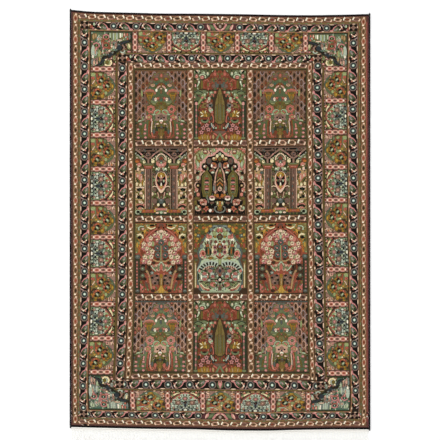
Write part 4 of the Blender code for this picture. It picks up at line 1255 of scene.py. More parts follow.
def blossom_panel():
    """A tree in blossom on red, between gold spandrels."""
    p = Cartoon()
    p.draw("brick", block(-26.4, 0, 26.4, 72))
    p.pair("rust", (-8, 6, 6, 3.2), (-16, 12.6, 3, 3.4), (-6, 30, 5, 9), (-18.4, 29.6, 2.4, 4.4))
    speckle(p.pair, ("rust", "salmon", "umber", "rust", "plum", "khaki"), block(-21.8, 4, 0, 71), 130, 0.9, 3)
    p.pair("salmon", line([(-4, 6.2), (-9.6, 9.8), (-14.8, 14.6), (-17.8, 19)], 1.2), (-12.4, 32.4, 5, 3.6),
            (-17.6, 37.8, 4, 2.2), (-10, 20.6, 4.6, 2.4))
    # gold spandrels with pale curls
    spandrel = [(-26.4, 1.2), (-4.6, 1.2), (-9.6, 5.2), (-14.4, 9.6), (-18.2, 15.4), (-20.8, 22.4),
            (-21.8, 30), (-26.4, 30)]
    p.pair("khaki", spandrel)
    p.pair("orange", line([(-5.6, 2), (-10.4, 5.8), (-15.2, 10.4), (-19, 16), (-21.6, 22.6), (-22.6, 30)],
            1.8))
    speckle(p.pair, ("moss", "olive", "gold", "orange", "walnut", "leaf", "mustard"), spandrel, 84, 0.85, 6)
    p.pair("gold", (-17, 9.4, 1.3, 3, 35), (-24.4, 22.8, 1, 2.8), (-12.8, 4.6, 1.8, 1))
    p.pair("moss", (-19, 4.6, 1.6, 2), (-14, 8.4, 1.3, 1), (-24.6, 18.2, 1.6, 1.4), (-25.4, 12, 0.8, 2.4))
    p.pair("rose", (-18.6, 6.6, 1.6, 1.3))
    p.pair("ink", (-9.2, 3.2, 2.8, 1), (-18.6, 10.6, 1.1, 1.4), (-22.4, 15.4, 2.3, 1.5),
            (-5.4, 2.4, 1.2, 0.9))
    p.pair("mint", line([(-22.6, 8.2), (-23.2, 5.6), (-21.2, 4), (-17.8, 4.2)], 1.7, 1))
    p.pair("ivory", line([(-15, 2.4), (-13.4, 5.2), (-10.4, 6.6), (-7.2, 5.6), (-5.8, 4.6)], 1.8, 1),
            line([(-24.9, 13.4), (-21.4, 12), (-19, 13.6), (-18.6, 16.2)], 2, 1.4))
    p.pair("leaf", (-13.8, 3.2, 0.9, 1.3), (-24.4, 14.2, 0.9, 1))
    p.draw("plum", (0, 3, 2.8, 1.9))
    p.pair("ink", (-2.2, 5.4, 0.9, 1.3), (-5.4, 9, 1.3, 0.9))
    p.draw("rust", (0, 4.6, 1, 1.6))
    # the crown of blossom
    p.draw("coral", (0, 13, 6.4, 5.2))
    p.pair("coral", (-12.6, 17.4, 3.4, 2.8), (-15.6, 24.6, 4.2, 3.8), (-14, 36, 4.6, 4.8),
            (-8.2, 21.4, 2.4, 2.4))
    p.pair("leaf", (-8.6, 21.6, 1.6, 2.6), (-11.6, 26.2, 1.2, 1.2), (-13.2, 34.4, 1, 2.2))
    for turn, (x, y, size) in enumerate((
            (-6.2, 13.2, 1.0), (-3.2, 10.4, 0.72), (-10.6, 15.8, 0.86), (-3.7, 18.0, 0.86),
            (-17.8, 21.6, 0.82), (-11.6, 21.4, 0.86), (-18.4, 25.4, 0.74), (-14.6, 26.2, 0.78),
            (-9.2, 29.0, 0.95), (-13.6, 30.6, 0.76), (-16.6, 34.6, 0.94), (-10.2, 34.0, 0.92),
            (-17.4, 39.0, 0.94), (-12.2, 39.6, 0.90))):
        for side in (-1, 1):
            p.place(blossom("blush" if turn % 3 else "dusty", ("bark", "moss", "umber")[turn % 3], size),
                    side * x, y)
    p.draw("blush", (0, 9.2, 2.3, 1.9), (0, 12.6, 2.6, 1.9))
    p.draw("mint", (0, 14.8, 1.2, 2.4))
    p.draw("sage", (0, 11.4, 0.8, 1))
    # grey flowers round the trunk
    for x, y in ((0, 20.4), (-3.9, 25.8), (4.4, 25.8), (-3.4, 32.4), (4.0, 32.6)):
        p.draw("slate", star(x, y, 3.3, 2.7, 7))
        p.draw("pine", star(x, y, 2.2, 1.5, 6))
        p.draw("steel", (x - 0.9, y - 0.7, 0.9, 0.8))
        p.draw("dusty", (x + 0.2, y + 0.1, 0.9, 0.9))
    p.draw("leaf", block(-0.7, 23.2, 0.4, 40))
    p.draw("salmon", block(0.4, 24, 1, 38))
    p.pair("umber", (-3.4, 36.8, 2, 1.2), (-7.6, 40.2, 2.2, 1.7))
    p.pair("tan", line([(-0.4, 38.6), (-4.2, 38.8), (-8.6, 36.8)], 1.3))
    # leaves under the crown
    p.pair("rose", [(-0.4, 40), (-4.4, 41.8), (-10.4, 42.8), (-8.8, 45.6), (-6, 48.2), (-2, 49), (-0.4, 46)])
    p.pair("mint", line([(-10.4, 43), (-8.4, 46), (-5.2, 48.8)], 1.1),
            line([(-0.4, 39.4), (-2.2, 41.8), (-2.8, 45.2)], 1.1))
    p.pair("sage", leaf(-3.4, 42.2, -2.4, 48, 1.6), (-5.8, 45.4, 1.6, 1.2))
    p.draw("salmon", (0, 44.8, 1.3, 3.2))
    p.draw("mint", (0, 39.8, 1.6, 0.9))
    p.pair("coral", (-7.6, 43.4, 1.2, 0.8))
    # the dark ground and its clusters
    dark = [(-22, 41.6), (-15.4, 41.4), (-11, 44), (-8.6, 49.6), (-10.6, 53.6), (-15, 48), (-16.4, 58.4),
            (-22, 58.4)]
    p.pair("umber", dark)
    speckle(p.pair, ("coal", "salmon", "slate", "rust", "coal", "plum"), dark, 34, 0.9, 2)
    p.pair("coal", (-12, 44.4, 1.5, 1.5), (-18, 43, 2.4, 1.2), (-16.4, 57, 1.8, 1.5), (-10.4, 49.6, 1.6, 2.4))
    for y in (46.2, 53.4):
        p.pair("slate", (-18.9, y, 2.4, 2.3))
        p.pair("sage", (-18.9, y, 1.6, 1.5))
        p.pair("mist", (-19.2, y - 0.4, 0.7, 0.6))
    p.pair("steel", star(-9.2, 50.4, 2.4, 1.2, 5))
    p.pair("mist", (-9.2, 50.6, 0.8, 0.8))
    p.pair("rust", (-15.6, 44.8, 0.9, 2.8), (-16, 52, 1.2, 1.3))
    p.pair("heather", (-5.8, 57.6, 5.2, 5.8))
    p.pair("mauve", (-7.2, 60, 2, 2.2), (-4.6, 55.6, 1.9, 1.5), (-6.4, 56.8, 1.2, 1))
    p.pair("salmon", (-2.8, 51.6, 1.4, 1.2), (-7.6, 65.6, 2.6, 1.5), (-11.8, 60, 0.8, 3))
    for x, y in ((-9.2, 55.6), (-4.4, 53.6), (-3.2, 58.0), (-6.3, 61.2)):
        p.pair("ink", (x, y, 1.5, 1.2))
        p.pair("pine", (x - 0.2, y + 0.2, 0.6, 0.5))
    # trunks
    p.pair("tan", line([(-15, 48), (-12.6, 53), (-11.2, 59), (-9.9, 67.6)], 1.9, 1.5))
    p.pair("coral", line([(-14.2, 50.4), (-12, 56)], 0.6))
    p.pair("umber", (-2.2, 61.4, 1, 2.6))
    p.draw("mustard", block(-1.4, 52, 1.4, 71))
    p.draw("tan", block(-0.5, 56, 0.7, 69))
    p.pair("gold", [(0, 63), (-1.6, 65.6), (-3.2, 68.6), (-6.8, 70.4), (-6.6, 71.6), (0, 71.6)])
    p.pair("tan", (-4, 70.4, 1.6, 0.7))
    # the lower corners
    p.pair("rust", [(-21.6, 58.8), (-17.4, 58.8), (-16.4, 64), (-17.4, 71.2), (-21.6, 71.2)])
    p.pair("salmon", [(-20.2, 62.6), (-17.9, 64.4), (-17.4, 67.4), (-18.2, 71), (-20.4, 71), (-21.4, 67.4)])
    speckle(p.pair, ("green", "dusty", "umber", "khaki"), block(-21.4, 59, -15, 70), 18, 0.9, 5)
    p.pair("khaki", (-20.4, 60, 1, 1.3))
    p.pair("plum", leaf(-16.4, 58.6, -13.2, 68.4, 3.4))
    p.pair("green", leaf(-15.4, 61.6, -13.4, 66.6, 1.3), leaf(-14.6, 65.6, -12.2, 70.8, 2))
    p.pair("leaf", leaf(-14, 66.6, -12.6, 69.8, 0.8))
    p.pair("brick", (-11.6, 70, 1.6, 1.4))
    p.pair("umber", (-8.4, 69.2, 2.4, 1.9), (-5, 66.8, 1.1, 1.7))
    p.pair("sage", line([(-5.6, 64.8), (-4.4, 67.4)], 0.8))
    # thin columns at the sides
    p.pair("pine", block(-26.4, 32, -21.8, 72))
    p.pair("plum", block(-25.8, 38, -23.4, 66))
    for turn in range(9):
        p.pair(("dusty", "salmon")[turn % 2], (-24.7, 39.6 + 3.2 * turn, 0.9, 1))
    p.pair("slate", (-24, 34.2, 2.7, 2.2), (-24, 69.2, 2.4, 1.6))
    p.pair("steel", (-24.2, 33.8, 1.4, 1.2), (-24.2, 68.8, 1.2, 0.8))
    p.pair("ink", block(-22.2, 60, -21.7, 72))
    p.draw("umber", block(-26.4, 0, 26.4, 0.8), block(-26.4, 71.4, 26.4, 72))
    return p, 52.8, 72.0


# %% [markdown]
# The middle panel of the third row is the lightest. Its ground is ivory, so here the dark strokes
# make the pattern.

# %% The ivory niche panel
def ivory_panel():
    """Flowers and fans of dark strokes on an ivory ground."""
    p = Cartoon()
    p.draw("bark", block(-26.4, 0, 26.4, 72.4))
    # gold and olive spandrels
    p.pair("olive", block(-26, 1.4, 0, 30))
    speckle(p.pair, ("gold", "orange", "moss", "pine", "mustard", "rust", "green", "umber", "khaki",
            "mustard"), block(-26.2, 1, -2, 36), 200, 0.95, 3)
    p.pair("moss", (-19.8, 4.4, 2, 2.4), (-23.6, 8.4, 1.6, 2.6), (-17.4, 10.2, 2.2, 2),
            (-11.6, 2.4, 2.6, 1.2), (-20.4, 19.6, 1.5, 2.2), (-4, 1.8, 3.4, 0.9))
    p.pair("orange", (-23.4, 5, 1.4, 1.6), (-16.4, 5.6, 1.7, 1.5), (-23.4, 18.6, 1.3, 1.6),
            (-12.6, 5.4, 1.2, 1.4))
    p.pair("gold", (-13.4, 8, 1.6, 2.6, 20), (-24.4, 12.6, 1.3, 1.5), (-9.6, 3.8, 1.9, 1.1),
            (-22.4, 16.8, 1.6, 0.9))
    p.pair("rust", (-17.4, 14.4, 1.9, 2), (-20, 23, 2.2, 2.2))
    p.pair("slate", (-21.4, 13.6, 1.9, 1.8), (-23, 3.6, 0.9, 1.2))
    p.pair("mint", (-22.6, 3, 0.7, 0.9), (-21.8, 13.2, 0.8, 0.7))
    p.pair("brick", (-24.2, 23.2, 1.4, 2.6))
    # the niche: a grey-blue outline round an ivory ground
    p.pair("slate", [(0, 2.4), (-4.6, 2.8), (-8.4, 5.2), (-11.0, 9.4), (-14.4, 12.4), (-16.8, 16.2),
            (-19.2, 20.2), (-20.8, 25.4), (-23.0, 29.4), (-22.4, 33.4), (-20.2, 37.4),
                     (-21.6, 42.0), (-23.6, 48.4), (-23.8, 60), (-22.8, 65.6), (-19.6, 70.6), (0, 71.2)])
    niche = [(0, 4.6), (-3.8, 5.2), (-6.8, 7.4), (-9.6, 11.2), (-13.0, 13.6), (-15.2, 17.4), (-17.4, 21.8),
            (-18.6, 26.0), (-20.6, 29.6), (-20.4, 33.0), (-17.6, 36.6),
             (-19.8, 41.4), (-21.6, 48.4), (-21.8, 58), (-20.4, 64), (-17.4, 69.2), (0, 70.2)]
    p.pair("mint", niche)
    speckle(p.pair, ("ivory", "leaf", "umber", "plum", "dusty", "slate", "rose", "sage", "bark", "coral"),
            niche, 190, 0.85, 5)
    p.pair("steel", (-4.8, 4, 2.8, 1.3), (-8.6, 7.4, 1.6, 1.9), (-18.4, 24.4, 1.9, 2.2))
    p.pair("navy", (-10.4, 9.4, 1, 1.6), (-5.4, 5.4, 1.2, 0.8))
    p.pair("plum", leaf(-20, 21.8, -15.8, 18.8, 2), (-7, 9, 1.3, 1.2))
    p.pair("leaf", (-5.4, 11.6, 1.7, 2.8, -20), (-3.4, 8, 1.2, 1.9))
    p.pair("white", (-12.4, 17.4, 1.9, 2.3), (-3, 21.6, 0.9, 2))
    p.pair("ivory", (-7, 27.4, 0.9, 4.4))
    # the crowning palmette
    p.draw("plum", (0, 8.4, 3.9, 2.9))
    p.draw("coral", (0, 7.6, 3, 2.4))
    p.draw("salmon", (-1.7, 8.6, 1, 1.6), (1.7, 8.6, 1, 1.6))
    p.draw("leaf", (0, 10.6, 1, 1.3))
    p.draw("white", (0, 5.6, 1.3, 0.7))
    # ringed brown flowers
    p.draw("ink", (0, 14.6, 3.1, 3.3))
    p.draw("plum", (0, 14.6, 2.3, 2.5))
    p.draw("green", (0, 14.8, 1.4, 1.4))
    p.draw("rust", (0, 12.6, 1.3, 0.8))
    p.pair("mustard", (-4.8, 14.8, 1.3, 1.2))
    p.pair("coral", (-11.8, 14.4, 1.9, 2.4), (-9.4, 14.8, 1.6, 1.8))
    p.pair("salmon", (-10.8, 13.6, 0.9, 1.1), (-12.6, 12.4, 0.9, 0.9))
    p.pair("plum", (-4.3, 19.6, 1.9, 1.9), (-8.5, 18.8, 1.1, 1.5))
    p.pair("rust", (-4, 19.9, 1, 1))
    p.pair("heather", (-9.3, 21.4, 0.9, 1.9))
    p.draw("rust", (0, 19.4, 1.4, 0.9))
    p.draw("ink", (0, 24, 3.2, 3.3))
    p.draw("brick", (0, 24, 2.3, 2.4))
    p.draw("steel", (0, 24.4, 1.4, 1.2))
    p.draw("gold", (0, 21.6, 1.3, 0.6))
    p.pair("pine", (-1.4, 28.2, 1.6, 1.4))
    p.draw("olive", (0, 28.6, 1.4, 2))
    for y in (25.2, 29.8):
        p.pair("dusty", (-4.8, y, 1.9, 2))
        p.pair("wine", (-4.9, y, 1.4, 1.4))
    p.pair("khaki", (-2.6, 26.6, 0.8, 1.2))
    # candelabra leaves
    p.pair("bark", leaf(-12.4, 17.8, -12.2, 24, 2.2), (-14.6, 21.4, 0.9, 1.7))
    p.pair("orange", (-12.4, 23.4, 1.9, 2))
    p.pair("salmon", (-12.4, 22.8, 1, 1))
    p.pair("green", (-11.9, 29.2, 3, 4.8))
    p.pair("coal", leaf(-13.6, 24.6, -13.6, 32.6, 1.8), leaf(-9.4, 26, -9.2, 33.6, 1.7))
    p.pair("orange", leaf(-11.6, 25.6, -11.4, 32.4, 1.2))
    p.pair("olive", leaf(-9.4, 22.4, -8, 26.4, 1.2))
    p.pair("coral", (-17, 31, 2.6, 3.2, -25))
    p.pair("rust", (-16.8, 31.2, 1.4, 2, -25))
    p.pair("pink", (-19.4, 33.4, 1, 1.6), (-14.4, 35, 1.4, 0.9))
    p.pair("rust", [(0, 36.4), (-2, 35.6), (-4.4, 33.6), (-3.4, 32.2), (-1.2, 34), (0, 34.4)])
    p.draw("coral", (0, 32.2, 1.3, 1.4))
    p.pair("khaki", (-9.2, 35.6, 3, 1.3))
    p.pair("mustard", (-9.2, 35.9, 1.5, 0.6))
    p.pair("leaf", (-5.4, 36.4, 1.4, 0.8), (-13, 35.6, 1, 0.7))
    # two fans of dark strokes, the inner one half a step further round and without its ends
    p.pair("mist", fan(-9, 51, 14.8, 190, 325, 8, 0.02, high=13))
    p.pair("rose", fan(-9, 51, 9, 195, 315, 8, 0.02, high=7.8))
    p.draw("leaf", block(-1.2, 36.6, 1.2, 44))
    for turn in range(8):
        for yarn, near, far, wide, shift in (("coal", 9.4, 13.2, 1.7, 0.0), ("plum", 6.6, 8.8, 1.2, 7.0)):
            if yarn == "plum" and turn in (0, 7):
                continue
            angle = math.radians(205 + turn * 15.4) + math.radians(shift)
            ends = [(-9 + reach * math.cos(angle), 51 + 0.88 * reach * math.sin(angle))
                    for reach in (near, far)]
            p.pair(yarn, line(ends, wide))
    # the lower garden
    p.pair("sage", [(0, 43.4), (-6, 44.6), (-13, 46.6), (-18.6, 48), (-19.4, 58), (-18, 63), (-9.4, 66.8),
            (0, 66.8)])
    speckle(p.pair, ("mint", "pine", "umber", "dusty", "mauve", "moss", "ink", "mist"),
            block(-19.6, 46, 0, 68), 130, 0.85, 7)
    p.pair("mist", (-7.4, 52.2, 2.4, 3.4), (-15.2, 54.6, 2.8, 1.2), (-10.8, 58.4, 1.6, 1.4),
            (-4.4, 61.6, 1.6, 1.2), (-2.4, 54, 1, 1.6))
    p.pair("heather", [(0, 43.6), (-2.6, 45.2), (-4.2, 47.4), (-5, 50.4), (-3.4, 49.6), (-1.9, 51.6),
            (0, 52)])
    p.draw("navy", (0, 48.8, 1.6, 2))
    p.pair("ink", (-2.9, 46.4, 0.8, 1), (-4.4, 44.4, 0.7, 0.8))
    p.draw("mist", (0, 45.6, 0.8, 0.8))
    p.pair("slate", (-7.6, 46.2, 1.9, 1.3), (-4.6, 52.2, 1.2, 2))
    p.pair("pine", (-14.4, 48.4, 2.4, 0.9), (-6.6, 50, 1, 0.9), (-10.6, 55.4, 0.7, 2))
    for x, y in ((-15.4, 51.6), (-15.2, 57.6), (-9.6, 48.8)):
        p.pair("dusty", (x, y, 2.2, 1.8))
        p.pair("salmon", (x, y, 1.1, 0.9))
    p.pair("dusty", (-7.2, 54.4, 1.9, 1.6))
    p.pair("brick", (-7.2, 54.2, 0.9, 0.8))
    p.pair("white", (-18.4, 55.4, 0.9, 2.6), (-12.6, 52.6, 0.7, 1.2))
    p.pair("pine", (-21.2, 54.8, 1.1, 3.6))
    p.pair("coral", (-20.6, 48.6, 1.2, 1.6), (-12, 54.8, 0.6, 1.9))
    p.pair("umber", leaf(-21.8, 60.6, -16.4, 59.4, 1.7), leaf(-14.8, 61.2, -9.6, 60, 1.5),
            line([(-9.6, 58.2), (-5.6, 57.6), (-2.6, 58)], 1.1))
    p.draw("ink", diamond(0, 57.8, 2.9, 4.4))
    p.draw("white", (0, 58, 1.3, 1.6))
    p.draw("coral", (0, 58.2, 0.7, 0.8))
    p.draw("brick", (0, 53.2, 1.6, 0.9))
    p.pair("coral", (-7, 62.8, 2.9, 2.4))
    p.pair("salmon", (-8, 61.6, 1.2, 0.9))
    p.pair("olive", (-5.4, 63.4, 1.2, 1.2))
    p.pair("ink", (-2.9, 63.6, 0.9, 1.1))
    p.pair("pine", (-13.8, 63.2, 2.3, 2, 30))
    p.pair("leaf", (-13.4, 62.8, 1, 0.8), line([(-16.6, 60.8), (-12, 66)], 0.8))
    p.pair("plum", leaf(0, 63.4, -1.2, 70.4, 2.6))
    p.pair("mist", (-4.4, 66.8, 1.3, 1))
    p.pair("coral", line([(-19.4, 63.4), (-16, 67.6), (-10.6, 69.2)], 1.6), (-22.4, 65, 1.4, 1.9, -30))
    p.pair("brick", line([(-17, 65), (-13.8, 68.4)], 1), (-11.4, 69.4, 1.1, 0.8))
    p.pair("ivory", line([(-19.6, 61.6), (-15.4, 66.4), (-10.6, 67.4)], 0.9))
    p.pair("ink", (-9.6, 67.2, 1, 0.8), (-3, 69.6, 0.7, 0.9))
    p.draw("mint", block(-19, 70.2, 19, 71.2))
    # columns at the sides
    p.pair("olive", block(-26.2, 37, -23.2, 71))
    p.pair("bark", block(-23.8, 30, -22.6, 46))
    p.pair("tan", line([(-24.4, 40.4), (-24.4, 70)], 1.6))
    p.pair("ivory", line([(-24.6, 42), (-24.6, 66)], 0.7))
    p.pair("brick", (-24, 33.6, 2, 1.6))
    p.pair("green", (-24.2, 28.4, 1.9, 1.8), (-23.8, 37.6, 1.7, 1))
    p.pair("umber", [(-26.4, 66.6), (-22.6, 66.6), (-18.6, 71), (-18.6, 72.4), (-26.4, 72.4)])
    p.draw("umber", block(-26.4, 0, 26.4, 0.8))
    return p, 52.8, 72.4


# %% [markdown]
# The same six drawings fill four rows: a table says which goes where.

# %% The rows of panels
# Each row: what the outer columns show, and what the middle one shows.
PANELS = (
    (arbour_panel, cypress_panel),
    (colonnade_panel, night_panel),
    (blossom_panel, ivory_panel),
    (arbour_panel, cypress_panel),
)
print("shapes in the panels:", [len(panel()[0].shapes) for row in PANELS[:3] for panel in row])


# %% [markdown]
# Now the whole sheet is laid out: bands from the outside in, then the twelve panels. The rug was
# knotted by hand, so its four sides differ by a square or two, and each side has its own measures.

# %% Where the bands run
# Each band's ground, from the rug's edge inwards
BANDS = {"chain1": "walnut", "line1": "walnut", "guard1": "coal", "line2": "umber", "tiles": "pine",
         "line3": "umber", "guard2": "coal", "line4": "umber", "chain2": "walnut", "line5": "umber"}
# Where the bands start on each side, and where the last one ends, in squares from the rug's edge
EDGES = {
    "left": (3.3, 8.3, 10.6, 19.0, 21.2, 45.6, 48.4, 56.8, 58.3, 63.6, 65.3),
    "right": (4.3, 9.3, 12.5, 21.2, 23.3, 45.5, 47.6, 56.8, 57.8, 62.4, 63.8),
    "top": (2.7, 7.5, 9.7, 17.4, 18.8, 39.2, 40.6, 48.6, 49.4, 54.2, 55.7),
    "bottom": (3.9, 8.6, 10.6, 18.0, 19.6, 39.8, 41.4, 50.4, 51.8, 56.6, 58.1),
}
FIELD = (EDGES["left"][-1], EDGES["top"][-1], WIDE - EDGES["right"][-1], LONG - EDGES["bottom"][-1])
DASH_STEP, DASH_LONG, DASH_WIDE = 7.3, 2.6, 0.9


def span(side, name):
    """Where a band of one side starts and ends, in squares from the rug's left or top."""
    which = list(BANDS).index(name)
    near, far = EDGES[side][which:which + 2]
    if side in ("left", "top"):
        return near, far
    total = WIDE if side == "right" else LONG
    return total - far, total - near


def band_spans(name):
    """A band's spans at the rug's left, right, top and bottom."""
    return [span(side, name) for side in ("left", "right", "top", "bottom")]


def band_block(name, inset):
    """The block inside a band's outer edge, moved in by inset: left, top, right, bottom."""
    (x0, _), (_, x1), (y0, _), (_, y1) = band_spans(name)
    return x0 + inset, y0 + inset, x1 - inset, y1 - inset


def line_band(p, name, yarn, inset, wide):
    """A line all round the rug."""
    x0, y0, x1, y1 = band_block(name, inset)
    p.draw(yarn, block(x0, y0, x1, y0 + wide), block(x0, y1 - wide, x1, y1),
           block(x0, y0, x0 + wide, y1), block(x1 - wide, y0, x1, y1))


def dashes(p, name, yarn, inset):
    """A broken line all round the rug, which mottles its band."""
    x0, y0, x1, y1 = band_block(name, inset)
    for turn in range(int((y1 - y0) / DASH_STEP)):
        y = y0 + turn * DASH_STEP
        p.draw(yarn, block(x0, y, x0 + DASH_WIDE, y + DASH_LONG),
               block(x1 - DASH_WIDE, y + 1, x1, y + 1 + DASH_LONG))
    for turn in range(int((x1 - x0) / DASH_STEP)):
        x = x0 + turn * DASH_STEP
        p.draw(yarn, block(x, y0, x + DASH_LONG, y0 + DASH_WIDE),
               block(x + 1, y1 - DASH_WIDE, x + 1 + DASH_LONG, y1))


print("the field is", round(FIELD[2] - FIELD[0], 1), "by", round(FIELD[3] - FIELD[1], 1), "squares")


# %% [markdown]
# Four functions draw the border from these measures: the grounds, the guards, the tiles and the
# chains. Each side has its own count and spacing of motifs, because the weaver fitted them by eye.

# %% Draw the borders
def evenly(first, step, count):
    return tuple(first + step * turn for turn in range(count))


# The rosettes of each guard: across its top and its bottom, in squares out from the middle, then
# down its left and its right side.
GUARDS = (
    ("guard1", (19.5, 40.5, 62, 84, 106.5), (21.5, 42.5, 64, 87, 110.5, 131.5),
     evenly(30.2, 22.83, 17), evenly(29.2, 23.08, 16)),
    ("guard2", (7.5, 28.5, 48.5, 70.0), (7.5, 29.5, 50.5, 72, 93.5),
     evenly(54.6, 22.7, 14), evenly(52.4, 23.05, 13) + (344.3,)),
)

TILES = ((dome_tile, 27.0), (arch_tile, 26.0))  # each with its length along the border, as drawn
TILE_DEEP = 25  # and its depth
CORNER_DEEP = 20.4
HALF_BAR = 2.7
SIDE_BARS = (55.5, 358.3, 9)  # the first and last bars down a side, and how many tiles between them
END_BARS = (65.3, 235.8, 5)  # and across an end
SMALLEST_IN_TILE = 2.4  # the smallest shape of a tile that gets an outline

# The dye batch changed as the rug grew: the two lower corner tiles and the lower row of tiles.
BLUER = {"green": "teal", "sage": "steel", "brick": "dusty", "khaki": "mist", "tan": "mint",
         "slate": "teal", "leaf": "mist"}
LIGHTER = {"moss": "green", "green": "sage", "olive": "khaki", "khaki": "tan", "coal": "umber",
           "slate": "steel", "sage": "mist"}


def draw_grounds(p):
    """The bands' grounds and the plain lines on them."""
    p.draw("umber", block(PILE_LEFT, PILE_TOP, PILE_RIGHT, PILE_BOTTOM))
    p.draw("wine", block(PILE_LEFT + 0.3, PILE_TOP + 0.3, PILE_RIGHT - 0.3, PILE_BOTTOM - 0.3))
    p.draw("plum", block(2.6, 2.6, WIDE - 3.2, LONG - 2.6))
    p.draw("salmon", block(WIDE - 4.0, 8, WIDE - 3.2, LONG - 8))
    for name, yarn in BANDS.items():
        p.draw(yarn, block(*band_block(name, 0.0)))
    line_band(p, "line1", "khaki", 0.8, 0.7)
    line_band(p, "line1", "bark", 1.6, 0.6)
    line_band(p, "line2", "clay", 0.0, 0.9)
    dashes(p, "line1", "sage", 0.7)
    dashes(p, "line2", "khaki", 0.1)
    line_band(p, "line3", "olive", 0.6, 0.7)
    line_band(p, "line3", "walnut", 1.9, 0.7)
    line_band(p, "line5", "moss", 0.4, 0.6)


def draw_chains(p):
    for name in ("chain1", "chain2"):
        (l0, l1), (r0, r1), (t0, t1), (b0, b1) = band_spans(name)
        lying_chain(p, (t0 + t1) / 2, l1, r0, t1 - t0)
        lying_chain(p, (b0 + b1) / 2, l1, r0, b1 - b0)
        upright_chain(p, (l0 + l1) / 2, t0, b1, l1 - l0)
        upright_chain(p, (r0 + r1) / 2, t0, b1, r1 - r0)


def draw_guards(p):
    for name, tops, bottoms, lefts, rights in GUARDS:
        (l0, l1), (r0, r1), (t0, t1), (b0, b1) = band_spans(name)
        lying_guard(p, (t0 + t1) / 2, l0, r1, tops, t1 - t0, 1)
        lying_guard(p, (b0 + b1) / 2, l0, r1, bottoms, b1 - b0, -1)
        upright_guard(p, (l0 + l1) / 2, t1, b0, lefts, l1 - l0, 1)
        upright_guard(p, (r0 + r1) / 2, t1, b0, rights, r1 - r0, -1)
        for x in ((l0 + l1) / 2, (r0 + r1) / 2):
            for y in ((t0 + t1) / 2, (b0 + b1) / 2):
                p.place(corner_star(), x, y, (l1 - l0) / GUARD_WIDE, (t1 - t0) / GUARD_WIDE)


def draw_tiles(p):
    """The main border: its corners, its tiles and the bars between them."""
    (l0, l1), (r0, r1), (t0, t1), (b0, b1) = band_spans("tiles")
    for x, side in ((l0, 1), (r1, -1)):
        for start, down in ((t0, 1), (b1, -1)):
            tile = corner_tile() if down > 0 else dyed(corner_tile(), BLUER)
            p.place(outlined(tile, SMALLEST_IN_TILE), x, start, side, down * (t1 - t0) / CORNER_DEEP)
    first_bar, last_bar, count = SIDE_BARS
    step = (last_bar - first_bar) / count
    for which in range(count):
        tile, tall = TILES[which % 2]
        y, stretch = first_bar + which * step + HALF_BAR, (step - 2 * HALF_BAR) / tall
        p.place(outlined(tile(), SMALLEST_IN_TILE), l0, y, (l1 - l0) / TILE_DEEP, stretch)
        p.place(outlined(tile(), SMALLEST_IN_TILE), r1, y, -(r1 - r0) / TILE_DEEP, stretch)
    for which in range(count + 1):
        y = first_bar + which * step
        p.place(divider(), (l0 + l1) / 2, y, (l1 - l0) / TILE_DEEP, 1.0)
        p.place(divider(), (r0 + r1) / 2, y, -(r1 - r0) / TILE_DEEP, 1.0)
    first_bar, last_bar, count = END_BARS
    step = (last_bar - first_bar) / count
    for start, down in ((t0, (t1 - t0) / TILE_DEEP), (b1, -(b1 - b0) / TILE_DEEP)):
        for which in range(count):
            tile, tall = TILES[which % 2]
            drawing = tile() if down > 0 else dyed(tile(), LIGHTER)
            x, stretch = first_bar + which * step + HALF_BAR, (step - 2 * HALF_BAR) / tall
            p.place(outlined(drawing, SMALLEST_IN_TILE), x, start, stretch, down, lying=True)
        for which in range(count + 1):
            level = start + down * (TILE_DEEP / 2)
            p.place(divider(), first_bar + which * step, level, 1.0, down, lying=True)


# %% [markdown]
# Each panel is framed by chains. The twelve panels are six drawings: the outer columns show the
# same one in each row, and the first and last rows are the same.

# %% Draw the field and the whole rug
COLUMNS = ((65.6, 117.4), (123.9, 176.4), (184.8, 236.8))  # left and right of each column
ROWS = ((55.8, 124.8), (132.2, 200.0), (207.6, 279.8), (287.6, 358.6))  # top and bottom of each row
LANES_ACROSS = (120.6, 180.6)  # the middles of the upright chains between the columns
LANES_DOWN = (128.4, 203.9, 283.6)  # and of the lying chains between the rows
LAST_ROW = 280  # a panel that starts below this is in the last row
LANE_HIGH, LANE_WIDE = 6.0, 6.3  # the chains between panels
PALER = {"mauve": "rose", "heather": "mauve", "walnut": "slate", "green": "sage", "coral": "pink",
         "salmon": "coral", "moss": "green", "rust": "salmon"}  # the last row's outer panels


def draw_panels():
    """The field: twelve panels and the chains between them."""
    p = Cartoon()
    left, top, right, bottom = FIELD
    p.draw("umber", block(*FIELD))
    for (outer, inner), (y0, y1) in zip(PANELS, ROWS):
        for column, (x0, x1) in enumerate(COLUMNS):
            panel, wide, high = inner() if column == 1 else outer()
            if column != 1 and y0 > LAST_ROW:
                panel = dyed(panel, PALER)
            p.place(outlined(panel), (x0 + x1) / 2, y0, (x1 - x0) / wide, (y1 - y0) / high)
    for y in LANES_DOWN:
        lying_chain(p, y, left, right, LANE_HIGH)
    for x in LANES_ACROSS:
        upright_chain(p, x, top, bottom, LANE_WIDE)
    return p


def draw_border():
    """Everything round the field, with a hole where the field goes."""
    p = Cartoon()
    draw_grounds(p)
    draw_guards(p)
    draw_tiles(p)
    draw_chains(p)
    p.draw(None, block(*FIELD))
    return p


def draw_border_back():
    """The border's underside: only its main bands."""
    p = Cartoon()
    for yarn, inset in (("bark", 2.5), ("mauve", 4.5), ("plum", 9.0), ("bark", 12.0),
                        ("khaki", 22.0), ("bark", 41.5), ("mauve", 50.0), ("umber", 54.0)):
        p.draw(yarn, block(inset, inset, WIDE - inset, LONG - inset))
    return p


